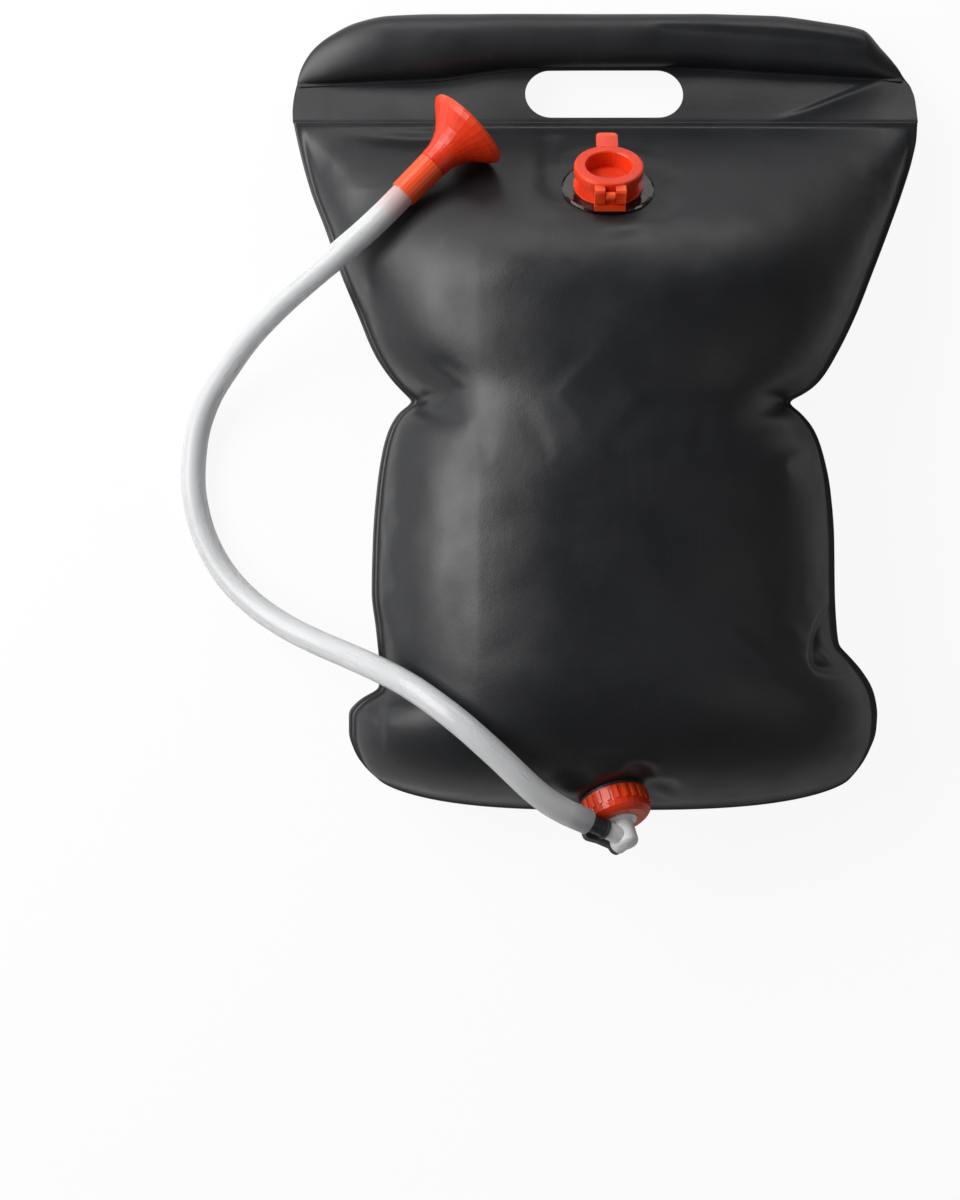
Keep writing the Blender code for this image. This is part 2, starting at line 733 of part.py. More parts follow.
def build_neck(fill, foot, top):
    outer = NECK_BORE + NECK_WALL
    step = foot + NECK_FOOT_THICKNESS
    wall = [(outer, top), (outer, step), (NECK_FOOT_RADIUS, step), (NECK_FOOT_RADIUS, foot)]
    wall += [(NECK_BORE, foot), (NECK_BORE, top)]
    neck = turned("fill_neck", wall, fill, closed=True)
    reach, height = hinge_place()
    width = LUG_SPACING - 2 * KNUCKLE_CLEARANCE
    turn = (0, QUARTER_TURN, 0)
    pin_place = (0, -reach, height)
    knuckle = cylinder("knuckle", KNUCKLE_RADIUS, -width / 2, width / 2, fill, FINE_STEPS, pin_place, turn)
    arm_length = reach - outer + NECK_WALL / 2
    arm_centre = (0, -reach + arm_length / 2, (height + step) / 2)
    arm = box("knuckle_arm", (width, arm_length, height - step), arm_centre, fill)
    block_width = LUG_SPACING + 2 * LUG_WIDTH
    block_top = height - LUG_DROP - KNUCKLE_CLEARANCE
    block_length = reach + LUG_DEPTH / 2 - outer + NECK_WALL / 2
    block_centre = (0, -reach - LUG_DEPTH / 2 + block_length / 2, (foot + block_top) / 2)
    join(neck, box("hinge_block", (block_width, block_length, block_top - foot), block_centre, fill))
    join(neck, arm)
    join(neck, knuckle)
    bore = PIN_RADIUS + PIN_CLEARANCE
    cut(neck, cylinder("pin_bore", bore, -LUG_SPACING, LUG_SPACING, fill, FINE_STEPS, pin_place, turn))
    finish_part(neck, RED_PLASTIC)


def build_cap(fill, top, face):
    reach, height = hinge_place()
    hinge = frame("fill_hinge_axis", (0, -reach, height), (0, 0, 0), fill)
    low = top + GAP - height
    high = face - height
    plug = NECK_BORE - PLUG_CLEARANCE
    tip = plug - PLUG_TAPER
    floor = high - CUP_DEPTH
    bottom = floor - PLUG_FLOOR
    bevel = CAP_EDGE * CAP_BEVEL_SHARE
    profile = [(0, floor + CUP_DOME), (CUP_RADIUS - CAP_EDGE, floor), (CUP_RADIUS, high - CAP_EDGE / 2)]
    profile += [(CUP_RADIUS + CAP_EDGE / 2, high), (CAP_RADIUS - CAP_EDGE, high)]
    profile += [(CAP_RADIUS - bevel, high - bevel), (CAP_RADIUS, high - CAP_EDGE)]
    profile += [(CAP_RADIUS, low), (plug, low), (plug - PLUG_TAPER / 2, (low + bottom) / 2)]
    profile += [(tip, bottom), (0, bottom)]
    centre = (0, reach, 0)
    cap = turned("fill_cap", profile, hinge, location=centre)
    join(cap, build_tab(hinge, reach, (low + high) / 2))
    for side in (-1, 1):
        join(cap, build_lug(hinge, side, high))
    turn = (0, QUARTER_TURN, 0)
    pin_half = LUG_SPACING / 2 + LUG_WIDTH / 2
    pin = cylinder("cap_pin", PIN_RADIUS, -pin_half, pin_half, hinge, FINE_STEPS, (0, 0, 0), turn)
    join(cap, pin)
    finish_part(cap, RED_PLASTIC)


def build_tab(hinge, reach, height):
    half = TAB_WIDTH / 2
    corner = TAB_CORNER
    root = -CAP_RADIUS + CUP_RADIUS + CAP_EDGE
    tip = arc((half - corner, TAB_LENGTH - corner), corner, 0, 90, CORNER_STEPS)
    tip += arc((corner - half, TAB_LENGTH - corner), corner, 90, 180, CORNER_STEPS)
    outline = [(-half, root), (half, root), *tip]
    seat = frame("tab_frame", (0, reach + CAP_RADIUS, height), (TAB_LIFT, 0, 0), hinge)
    return plate_outline("cap_tab", outline, TAB_THICKNESS, seat)


def build_lug(hinge, side, high):
    """One hinge ear: a rounded plate that reaches back from the cap and down past the pin."""
    nose = LUG_DEPTH / 2
    root = HINGE_REACH + CAP_EDGE
    upper = high - CAP_EDGE
    outline = [(root, upper), (-nose * LUG_TOP_SHARE, upper), (-nose, upper - CAP_EDGE)]
    outline += arc((0, nose - LUG_DROP), nose, 180, 360, SMALL_STEPS)
    outline += [(nose, PIN_RADIUS), (root, PIN_RADIUS + CAP_EDGE)]
    centre = side * (LUG_SPACING / 2 + LUG_WIDTH / 2)
    seat = frame("lug_frame", (centre, 0, 0), (QUARTER_TURN, 0, QUARTER_TURN), hinge)
    return plate_outline("cap_lug", outline, LUG_WIDTH, seat)


# Outlet and tap


def outlet_frame():
    lowest = CORNER_Y - BOTTOM_SAG
    seat = surface_point(OUTLET_X, lowest + OUTLET_FROM_EDGE)
    turn = Matrix.Rotation(OUTLET_HEADING, 4, "Z") @ Matrix.Rotation(OUTLET_TILT, 4, "Y")
    turn = turn @ Matrix.Rotation(TAP_ROLL, 4, "Z")
    axis = turn @ Vector((0, 0, 1))
    return frame("outlet_axis", seat - axis * OUTLET_SEAT_DEPTH, turn.to_euler())


def outlet_levels():
    """Heights along the outlet's axis over the seat, from the spout's flange to the collar's end."""
    flange_top = GAP + SPOUT_FLANGE_THICKNESS
    spout_top = flange_top + SPOUT_HEIGHT
    gasket_top = spout_top + GAP + GASKET_THICKNESS
    tap_low = gasket_top + GAP
    tap_top = tap_low + TAP_FLANGE_THICKNESS
    collar_top = tap_top + GAP + COLLAR_END_WALL
    return flange_top, spout_top, gasket_top, tap_low, tap_top, collar_top


def build_outlet(outlet):
    flange_top, spout_top, gasket_top, tap_low, tap_top, collar_top = outlet_levels()
    spout_radius = SPOUT_BORE + SPOUT_WALL
    spout = [(spout_radius - GAP, spout_top), (spout_radius, spout_top - GASKET_THICKNESS)]
    spout += [(spout_radius, flange_top), (SPOUT_FLANGE_RADIUS, flange_top), (SPOUT_FLANGE_RADIUS, GAP)]
    spout += [(SPOUT_BORE, GAP), (SPOUT_BORE, spout_top)]
    finish_part(turned("outlet_spout", spout, outlet, closed=True), BLACK_PLASTIC)
    gasket = [(spout_radius, gasket_top), (spout_radius, spout_top + GAP)]
    gasket += [(SPOUT_BORE, spout_top + GAP), (SPOUT_BORE, gasket_top)]
    finish_part(turned("outlet_gasket", gasket, outlet, closed=True), GREY_RUBBER)
    build_collar(outlet, flange_top + COLLAR_LIFT, tap_top + GAP, collar_top)
    build_tap(outlet, tap_low, tap_top, collar_top)


def build_collar(outlet, low, inner_top, top):
    """The screwed collar: a ribbed cup with a round window for the tap."""
    bore = SPOUT_BORE + SPOUT_WALL + COLLAR_WALL_CLEARANCE
    shoulder = low + (top - low) * COLLAR_SHOULDER_SHARE
    round_in = (COLLAR_RADIUS - COLLAR_END_RADIUS) * COLLAR_ROUND_SHARE
    profile = [(COLLAR_APERTURE, top), (COLLAR_END_RADIUS, top)]
    profile += [(COLLAR_RADIUS - round_in * 2, top - round_in)]
    profile += [(COLLAR_RADIUS - round_in / 2, (shoulder + top) / 2), (COLLAR_RADIUS, shoulder)]
    profile += [(COLLAR_RADIUS, low), (bore, low), (bore, inner_top), (COLLAR_APERTURE, inner_top)]
    collar = turned("outlet_collar", profile, outlet, closed=True)
    mesh = bpy.data.meshes.new("collar_ribs")
    shape = bmesh.new()
    middle = (low + shoulder) / 2
    for i in range(COLLAR_RIBS):
        turn = Matrix.Rotation(2 * math.pi * (i + 0.5) / COLLAR_RIBS, 4, "Z")
        place = turn @ Matrix.Translation((COLLAR_RADIUS, 0, middle))
        size = Matrix.Diagonal((2 * RIB_HEIGHT, RIB_WIDTH, (shoulder - low) * RIB_LENGTH_SHARE, 1))
        bmesh.ops.create_cube(shape, size=1.0, matrix=place @ size)
    shape.to_mesh(mesh)
    shape.free()
    join(collar, link_object("collar_ribs", mesh, outlet))
    finish_part(collar, RED_PLASTIC)


def branch_turn():
    """Rotation that lays a piece's local Z along the branch."""
    return (0, BRANCH_ANGLE, 0)


def branch_direction():
    return Vector((math.sin(BRANCH_ANGLE), 0, math.cos(BRANCH_ANGLE)))


def build_tap(outlet, low, top, collar_top):
    rim = SPOUT_BORE + SPOUT_WALL
    boss_top = collar_top + TAP_BOSS_PROUD
    end = collar_top + TAP_BARREL_LENGTH
    profile = [(0, end)]
    for angle in TAP_DOME_ANGLES:
        profile.append((TAP_BARREL_RADIUS * math.sin(angle), end - TAP_DOME * (1 - math.cos(angle))))
    profile += [(TAP_BARREL_RADIUS, end - TAP_DOME), (TAP_BARREL_RADIUS, boss_top + OVERRUN / 2)]
    profile += [(TAP_BARREL_RADIUS + OVERRUN / 2, boss_top), (TAP_BOSS_RADIUS, boss_top)]
    profile += [(TAP_BOSS_RADIUS, top), (rim, top), (rim, low), (0, low)]
    tap = turned("tap_body", profile, outlet)
    crossing = (0, 0, collar_top + BRANCH_AT)
    turn = branch_turn()
    join(tap, cylinder("tap_branch", BRANCH_RADIUS, 0, BRANCH_LENGTH, outlet, FINE_STEPS, crossing, turn))
    across = (QUARTER_TURN, 0, 0)
    boss = COCK_RADIUS + COCK_BOSS_WALL
    join(tap, cylinder("cock_boss", boss, -COCK_BOSS_REACH, 0, outlet, FINE_STEPS, crossing, across))
    bore = COCK_RADIUS + COCK_CLEARANCE
    reach = COCK_BOSS_REACH + OVERRUN
    blind = cock_blind() + COCK_CLEARANCE
    roll = COCK_ROLL_SHARE
    cut(tap, cylinder("cock_bore", bore, -reach, blind, outlet, FINE_STEPS, crossing, across, roll))
    way = collar_top + BRANCH_AT
    roll = INLET_ROLL_SHARE
    cut(tap, cylinder("inlet_bore", TAP_WATERWAY, low - OVERRUN, way, outlet, FINE_STEPS, roll=roll))
    socket = BRANCH_LENGTH - TAIL_NIPPLE_LENGTH - GAP
    socket_radius = TAIL_NIPPLE_RADIUS + GAP
    mouth = BRANCH_LENGTH + OVERRUN
    stepped = [(0, mouth), (socket_radius, mouth), (socket_radius, socket)]
    stepped += [(TAP_WATERWAY, socket), (TAP_WATERWAY, 0), (0, 0)]
    roll = OUTLET_ROLL_SHARE
    cut(tap, turned("outlet_bore", stepped, outlet, FINE_STEPS, crossing, turn, roll=roll))
    finish_part(tap, WHITE_PLASTIC)
    build_cock(outlet, crossing)
    build_tail(outlet, crossing)


def cock_blind():
    """How far the stopcock's plug reaches past the barrel's axis, inside its closed wall."""
    return TAP_BARREL_RADIUS - COCK_BLIND_WALL


def build_cock(outlet, crossing):
    """The stopcock: a cross-drilled plug with a flat lever on the side away from the bag's front."""
    axis = frame("tap_cock_axis", crossing, (-QUARTER_TURN, 0, 0), outlet)
    head = COCK_BOSS_REACH + LEVER_STAND_OFF
    lever_top = head + LEVER_THICKNESS
    back = -cock_blind()
    profile = [(0, lever_top), (COCK_HEAD_RADIUS, lever_top), (COCK_HEAD_RADIUS, head), (COCK_RADIUS, head)]
    profile += [(COCK_RADIUS, back), (0, back)]
    cock = turned("tap_cock", profile, axis, FINE_STEPS)
    drill = cylinder("cock_drill", TAP_WATERWAY, -COCK_HEAD_RADIUS, COCK_HEAD_RADIUS, axis, FINE_STEPS)
    drill.rotation_euler = (0, QUARTER_TURN, 0)
    cut(cock, drill)
    half, tip = LEVER_WIDTH / 2, LEVER_TIP_WIDTH / 2
    outline = [(0, -half), (LEVER_LENGTH - 3 * tip, -half)]
    outline += arc((LEVER_LENGTH - tip, 0), tip, -LEVER_TIP_ANGLE, LEVER_TIP_ANGLE, SMALL_STEPS)
    outline += [(LEVER_LENGTH - 3 * tip, half), (0, half)]
    pointing = QUARTER_TURN - BRANCH_ANGLE
    seat = frame("lever_frame", (0, 0, head + LEVER_THICKNESS / 2), (0, 0, -pointing), axis)
    join(cock, plate_outline("cock_lever", outline, LEVER_THICKNESS, seat))
    finish_part(cock, BLACK_PLASTIC)


def build_tail(outlet, crossing):
    """The black hose tail, plugged into the branch and grooved where the hose grips it."""
    start = BRANCH_LENGTH + GAP
    ring_top = start + TAIL_RING_THICKNESS
    end = start + TAIL_LENGTH
    profile = [(TAIL_BORE, end), (TAIL_RADIUS - TAIL_GROOVE, end)]
    pitch = (end - ring_top) / TAIL_GROOVES
    for i in range(TAIL_GROOVES):
        crest = end - pitch * (i + 1)
        profile.append((TAIL_RADIUS, crest + pitch * TAIL_BARB_SHARE))
        profile.append((TAIL_RADIUS - TAIL_GROOVE * TAIL_STEP_DEPTH_SHARE, crest + pitch * TAIL_STEP_SHARE))
    profile += [(TAIL_RADIUS, ring_top), (TAIL_RING_RADIUS, ring_top), (TAIL_RING_RADIUS, start)]
    profile += [(TAIL_NIPPLE_RADIUS, start), (TAIL_NIPPLE_RADIUS, start - TAIL_NIPPLE_LENGTH)]
    profile += [(TAIL_BORE, start - TAIL_NIPPLE_LENGTH)]
    tail = turned("hose_tail", profile, outlet, FINE_STEPS, crossing, branch_turn(), closed=True)
    finish_part(tail, BLACK_PLASTIC)


# Hose


def tail_end(outlet):
    """Where the hose starts at the tap, and the direction it leaves in, in world axes."""
    turn = outlet.rotation_euler.to_matrix()
    _, _, _, _, _, collar_top = outlet_levels()
    along = branch_direction()
    start = Vector((0, 0, collar_top + BRANCH_AT)) + along * (BRANCH_LENGTH + GAP + TAIL_LENGTH + GAP)
    return outlet.location + turn @ start, turn @ along


def rest_on_skin(x, y, radius):
    """Lowest height at which the middle of a ball clears the front under it."""
    heights = [skin_height(x, y) + radius]
    for reach in (radius / 2, radius * REST_RING_SHARE):
        for i in range(SMALL_STEPS):
            turn = 2 * math.pi * i / SMALL_STEPS
            below = skin_height(x + reach * math.cos(turn), y + reach * math.sin(turn))
            heights.append(below + math.sqrt(radius * radius - reach * reach))
    return max(heights)


def hose_points(outlet, head):
    """The hose's own route with its straight ends, read off a smooth curve two diameters apart."""
    start, leaving = tail_end(outlet)
    place, entering = head.location, head_direction()
    half, whole = HOSE_DIAMETER / 2, HOSE_DIAMETER
    route = [start, start + leaving * half, start + leaving * whole]
    for x_share, y_share, z_share in HOSE_ROUTE_SHARES:
        x = HALF_WIDTH * x_share
        y = start.y + (place.y - start.y) * y_share
        z = (SEAM_HEIGHT + FRONT_CROWN) * z_share
        route.append(Vector((x, y, max(z, rest_on_skin(x, y, half)))))
    route += [place - entering * whole, place - entering * half, place + entering * (SOCKET_DEPTH - GAP)]
    return spaced_points(smooth_line(route), HOSE_DIAMETER * HOSE_STEP_DIAMETERS)


def smooth_line(route):
    """A centripetal curve through the route's points."""
    line = []
    padded = [route[0] * 2 - route[1], *route, route[-1] * 2 - route[-2]]
    for a, b, c, d in zip(padded, padded[1:], padded[2:], padded[3:]):
        t0 = 0.0
        t1 = t0 + math.sqrt((b - a).length)
        t2 = t1 + math.sqrt((c - b).length)
        t3 = t2 + math.sqrt((d - c).length)
        for i in range(CURVE_STEPS):
            t = t1 + (t2 - t1) * i / CURVE_STEPS
            p = a * ((t1 - t) / (t1 - t0)) + b * ((t - t0) / (t1 - t0))
            q = b * ((t2 - t) / (t2 - t1)) + c * ((t - t1) / (t2 - t1))
            r = c * ((t3 - t) / (t3 - t2)) + d * ((t - t2) / (t3 - t2))
            pq = p * ((t2 - t) / (t2 - t0)) + q * ((t - t0) / (t2 - t0))
            qr = q * ((t3 - t) / (t3 - t1)) + r * ((t - t1) / (t3 - t1))
            line.append(pq * ((t2 - t) / (t2 - t1)) + qr * ((t - t1) / (t2 - t1)))
    return [*line, route[-1].copy()]


def spaced_points(line, step):
    """Points about a step apart along a fine line, with a short straight piece at either end."""
    length = sum((b - a).length for a, b in zip(line, line[1:]))
    count = max(2, round(length / step))
    half = HOSE_DIAMETER / 2
    wanted = [half, *[length * i / count for i in range(1, count)], length - half]
    points, run = [line[0]], 0.0
    for a, b in zip(line, line[1:]):
        part = (b - a).length
        while wanted and wanted[0] <= run + part:
            points.append(a.lerp(b, (wanted.pop(0) - run) / part))
        run += part
    return [*points, line[-1]]


def build_hose(outlet, head):
    curve = bpy.data.curves.new("hose", "CURVE")
    curve.dimensions = "3D"
    curve.bevel_depth = HOSE_DIAMETER / 2
    curve.bevel_resolution = 3
    curve.use_fill_caps = True
    points = hose_points(outlet, head)
    spline = curve.splines.new("POLY")
    spline.points.add(len(points) - 1)
    for point, place in zip(spline.points, points):
        point.co = (*place, 1)
    hose = as_mesh(link_object("hose", curve))
    finish_part(hose, CLEAR_HOSE)


# Shower head


def head_direction():
    flat = math.cos(HEAD_FALL)
    return Vector((flat * math.cos(HEAD_HEADING), flat * math.sin(HEAD_HEADING), -math.sin(HEAD_FALL)))


def head_rest(x, y, turn):
    """Height of the sleeve's end at which sleeve and horn lie just over the front."""
    outlines = [(0, SLEEVE_RADIUS), (SLEEVE_LENGTH, SLEEVE_RADIUS + SLEEVE_FLARE)]
    outlines += [(z, r) for r, z in horn_outline(SLEEVE_LENGTH + GAP)]
    outlines.append((HORN_LENGTH - HORN_LIP, HORN_RIM_RADIUS))
    lifts = []
    for along, radius in outlines:
        for i in range(ROUND_STEPS):
            around = 2 * math.pi * i / ROUND_STEPS
            point = turn @ Vector((radius * math.cos(around), radius * math.sin(around), along))
            lifts.append(skin_height(x + point.x, y + point.y) - point.z)
    return max(lifts) + HEAD_REST_CLEARANCE


def head_frame():
    turn = Matrix.Rotation(HEAD_HEADING, 4, "Z") @ Matrix.Rotation(QUARTER_TURN + HEAD_FALL, 4, "Y")
    x, y = HALF_WIDTH * HEAD_X_SHARE, weld_y() - HEAD_FROM_WELD
    return frame("head_axis", (x, y, head_rest(x, y, turn)), turn.to_euler())


def build_head(head):
    web_low = SOCKET_DEPTH
    web_top = web_low + SLEEVE_WEB
    mouth = SLEEVE_LENGTH
    socket = HOSE_DIAMETER / 2 + SOCKET_CLEARANCE
    front_bore = SLEEVE_RADIUS + SLEEVE_FLARE - SLEEVE_WALL
    spigot_end = web_top + SPIGOT_LENGTH
    profile = [(0, spigot_end), (SPIGOT_RADIUS, spigot_end), (SPIGOT_RADIUS, web_top), (front_bore, web_top)]
    profile += [(front_bore, mouth), (SLEEVE_RADIUS + SLEEVE_FLARE, mouth), (SLEEVE_RADIUS, 0), (socket, 0)]
    profile += [(socket, web_low), (SPIGOT_BORE, web_low), (SPIGOT_BORE, spigot_end - SPIGOT_END)]
    profile += [(0, spigot_end - SPIGOT_END)]
    sleeve = turned("head_sleeve", profile, head, FINE_STEPS)
    port = (0, 0, spigot_end - SPIGOT_END - PORT_RADIUS * 2)
    across = (QUARTER_TURN, 0, 0)
    reach = SPIGOT_RADIUS + GAP
    cut(sleeve, cylinder("spigot_ports", PORT_RADIUS, -reach, reach, head, FINE_STEPS // 2, port, across))
    finish_part(sleeve, RED_PLASTIC)
    neck_low = mouth + GAP - HORN_NECK_DEPTH
    build_seal(head, neck_low)
    build_horn(head, neck_low, mouth + GAP)


def build_seal(head, neck_low):
    """The ring that wipes the spigot, held inside the horn's neck."""
    inner = SPIGOT_RADIUS + GAP
    outer = HORN_NECK_RADIUS - HORN_WALL - GAP
    low = neck_low + SEAL_WIDTH
    high = low + SEAL_WIDTH
    middle = (low + high) / 2
    profile = [(outer, middle), ((inner + outer) / 2, low), (inner, middle), ((inner + outer) / 2, high)]
    finish_part(turned("head_seal", profile, head, FINE_STEPS, closed=True), GREY_RUBBER)


def horn_outline(shoulder):
    """Outer points of the flare from shoulder to rim."""
    length = HORN_LENGTH - HORN_LIP - shoulder
    growth = HORN_RIM_RADIUS - HORN_SHOULDER
    return [(HORN_SHOULDER + growth * grown, shoulder + length * step) for step, grown in HORN_FLARE_SHARES]


def build_horn(head, neck_low, shoulder):
    outer = horn_outline(shoulder)
    rim_low = HORN_LENGTH - HORN_LIP
    seat = rim_low - PLATE_THICKNESS
    bore = HORN_NECK_RADIUS - HORN_WALL
    inner = [(r - HORN_WALL, z + HORN_WALL) for r, z in outer[1:] if z + HORN_WALL < seat]
    plate_radius = HORN_RIM_RADIUS - HORN_WALL
    profile = [(bore, neck_low), (bore, shoulder), *inner, (plate_radius - HORN_WALL, seat)]
    profile += [(plate_radius, seat), (plate_radius, HORN_LENGTH), (HORN_RIM_RADIUS - GAP, HORN_LENGTH)]
    profile += [(HORN_RIM_RADIUS, rim_low), *reversed(outer[:-1])]
    profile += [(HORN_NECK_RADIUS, shoulder), (HORN_NECK_RADIUS, neck_low)]
    horn = turned("head_horn", profile, head, ROUND_STEPS, closed=True)
    finish_part(horn, RED_PLASTIC)
    build_plate(head, seat + GAP, plate_radius - GAP)


def build_plate(head, low, radius):
    """The slightly crowned face with rings of water holes."""
    top = low + PLATE_THICKNESS
    midway = PLATE_CROWN * PLATE_MIDWAY_SHARE
    profile = [(0, top + PLATE_CROWN), (radius / 2, top + midway), (radius, top)]
    profile += [(radius, low), (radius / 2, low + midway), (0, low + PLATE_CROWN)]
    plate = turned("head_plate", profile, head, ROUND_STEPS)
    mesh = bpy.data.meshes.new("plate_drill")
    shape = bmesh.new()
    pitch = (radius - HORN_LIP) / (HOLE_RINGS + HOLE_MARGIN_SHARE)
    depth = PLATE_CROWN * 2 + PLATE_THICKNESS * 3
    for ring in range(HOLE_RINGS + 1):
        count = max(1, HOLES_IN_FIRST_RING * ring)
        for i in range(count):
            turn = Matrix.Rotation(2 * math.pi * i / count, 4, "Z")
            place = turn @ Matrix.Translation((pitch * ring, 0, top))
            drill = {"segments": HOLE_SIDES, "radius1": HOLE_RADIUS, "radius2": HOLE_RADIUS, "depth": depth}
            bmesh.ops.create_cone(shape, cap_ends=True, matrix=place, **drill)
    shape.to_mesh(mesh)
    shape.free()
    cut(plate, link_object("plate_drill", mesh, head))
    finish_part(plate, RED_PLASTIC)


def main():
    fill = fill_frame()
    outlet = outlet_frame()
    head = head_frame()
    bpy.context.view_layer.update()
    build_chamber(fill, outlet)
    build_handle()
    build_fill_port(fill)
    build_outlet(outlet)
    build_hose(outlet, head)
    build_head(head)


clear_scene()
PARTS = new_collection("camp_shower_bag")
CUTTERS = new_collection("cutters")
main()
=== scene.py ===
"""Looks of the camp shower bag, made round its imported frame. Metres, +Z up out of the black front."""

import json
import math

import bmesh
import bpy
import numpy as np
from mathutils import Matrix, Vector, noise
from mathutils.bvhtree import BVHTree

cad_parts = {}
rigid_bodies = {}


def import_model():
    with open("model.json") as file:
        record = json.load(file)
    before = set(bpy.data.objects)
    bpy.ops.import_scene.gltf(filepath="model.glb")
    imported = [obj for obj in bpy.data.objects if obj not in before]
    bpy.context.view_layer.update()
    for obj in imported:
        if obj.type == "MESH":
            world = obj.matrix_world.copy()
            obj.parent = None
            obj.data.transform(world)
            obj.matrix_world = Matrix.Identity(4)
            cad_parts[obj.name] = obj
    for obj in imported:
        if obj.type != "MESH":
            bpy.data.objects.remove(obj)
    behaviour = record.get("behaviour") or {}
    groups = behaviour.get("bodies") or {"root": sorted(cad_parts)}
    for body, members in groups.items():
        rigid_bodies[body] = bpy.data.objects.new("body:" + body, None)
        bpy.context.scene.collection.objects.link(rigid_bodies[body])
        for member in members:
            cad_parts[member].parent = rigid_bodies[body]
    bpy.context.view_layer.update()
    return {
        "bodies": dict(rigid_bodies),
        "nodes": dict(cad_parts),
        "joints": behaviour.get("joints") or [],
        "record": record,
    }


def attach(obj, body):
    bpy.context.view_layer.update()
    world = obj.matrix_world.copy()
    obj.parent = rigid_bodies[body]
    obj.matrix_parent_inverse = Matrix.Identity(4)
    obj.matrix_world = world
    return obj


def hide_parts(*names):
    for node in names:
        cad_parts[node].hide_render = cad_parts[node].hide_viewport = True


# Camera over the bag, looking straight down
CAMERA_PLACE = (-0.080, -0.1119, 1.300)
CAMERA_LENS = 59.16
SENSOR_WIDTH = 36

# Hose, its route, and where and which way its two ends go
HOSE_DIAMETER = 0.016
HOSE_BORE = 0.0116
HOSE_ROUTE = [
    (-0.0382, -0.2339, 0.1110),
    (-0.0483, -0.2258, 0.1143),
    (-0.0578, -0.2167, 0.1164),
    (-0.0675, -0.2073, 0.1171),
    (-0.0780, -0.1977, 0.1171),
    (-0.0888, -0.1883, 0.1150),
    (-0.0998, -0.1798, 0.1106),
    (-0.1206, -0.1659, 0.0962),
    (-0.1407, -0.1559, 0.0786),
    (-0.1615, -0.1475, 0.0596),
    (-0.1834, -0.1390, 0.0430),
    (-0.2060, -0.1284, 0.0290),
    (-0.2280, -0.1138, 0.0186),
    (-0.2471, -0.0942, 0.0116),
    (-0.2606, -0.0697, 0.0084),
    (-0.2672, -0.0423, 0.0082),
    (-0.2673, -0.0193, 0.0083),
    (-0.2638, 0.0016, 0.0104),
    (-0.2556, 0.0210, 0.0162),
    (-0.2430, 0.0385, 0.0254),
    (-0.2269, 0.0566, 0.0392),
    (-0.2082, 0.0730, 0.0526),
    (-0.1898, 0.0867, 0.0650),
    (-0.1714, 0.0995, 0.0766),
    (-0.1620, 0.1065, 0.0812),
    (-0.1519, 0.1145, 0.0840),
]
HOSE_START = (-0.0145, -0.2467, 0.1007)
HOSE_LEAVING = (-0.8306, 0.4033, 0.3840)
HEAD_PLACE = (-0.1275, 0.1381, 0.0842)
HEAD_DIRECTION = (0.6925, 0.7171, -0.0785)
SOCKET_REACH = 0.0077
HOSE_STEPS = 6
HOSE_SIDES = 28

# Water chamber, close to that of the solids
HALF_WIDTH = 0.2025
CHAMBER_LENGTH = 0.4215
CORNER_Y = -0.2245
WELD_Y = CORNER_Y + CHAMBER_LENGTH
BOTTOM_SAG = 0.022
SAG_CORNER_POWER = 3
SAG_POWER = 0.64
SAG_REACH = 0.35
FRONT_CROWN = 0.085
BACK_CROWN = 0.060
CROWN_POWER = 2.4
SEAM_HEIGHT = 0.038
WELD_HEIGHT = 0.027
SEAM_FALL = 0.60
RIM_WIDTH = 0.0042
RIM_THICKNESS = 0.0009
BOTTOM_ROUND = 0.091
TOP_ROUND = 0.120
BACK_ROUND = 0.070
WAIST = 0.567
WAIST_SPREAD = 0.07
WAIST_DIP = 0.05
FLOOR_GAP = 0.0003

# Left and right edge of the chamber: share of its length, and shares of its half width
ROWS = np.array([
    (0.000, -0.724, 0.780), (0.015, -0.760, 0.807), (0.038, -0.792, 0.835), (0.068, -0.810, 0.857),
    (0.095, -0.810, 0.861), (0.115, -0.778, 0.856), (0.132, -0.716, 0.846), (0.158, -0.712, 0.815),
    (0.178, -0.715, 0.780), (0.198, -0.719, 0.740), (0.225, -0.725, 0.733), (0.280, -0.738, 0.727),
    (0.360, -0.734, 0.725), (0.434, -0.722, 0.713), (0.485, -0.707, 0.692), (0.523, -0.686, 0.664),
    (0.553, -0.648, 0.615), (0.567, -0.606, 0.575), (0.583, -0.640, 0.640), (0.600, -0.673, 0.680),
    (0.640, -0.729, 0.733), (0.700, -0.782, 0.795), (0.765, -0.838, 0.850), (0.835, -0.889, 0.907),
    (0.890, -0.933, 0.949), (0.940, -0.963, 0.982), (0.975, -0.980, 0.997), (1.000, -0.991, 1.000),
])
LEFT_CORNERS = (0.132, 0.567)
RIGHT_CORNERS = (0.198, 0.567)

# The sheet between the edges follows them calmly
EDGE_POWER = 5
CALM_REACH = 60
CALM_WIDTH = 24.0
CALM_STEPS = 601
RIM_BLEND_START = 0.62
RIM_BLEND_WIDTH = 0.3

# Grid of each sheet: its lines, those of them on each rim, and how they crowd toward the edges
GRID_ROWS = 168
GRID_COLUMNS = 148
RIM_LINES = 2
ROW_CROWDING = 0.10
COLUMN_CROWDING = 0.308

# Handle, close to that of the solids
HANDLE_HEIGHT = 0.0722
SLEEVE_HEIGHT = 0.015
SLOT = {"x": 0.0005, "y": 0.2163, "length": 0.1024, "width": 0.0335}

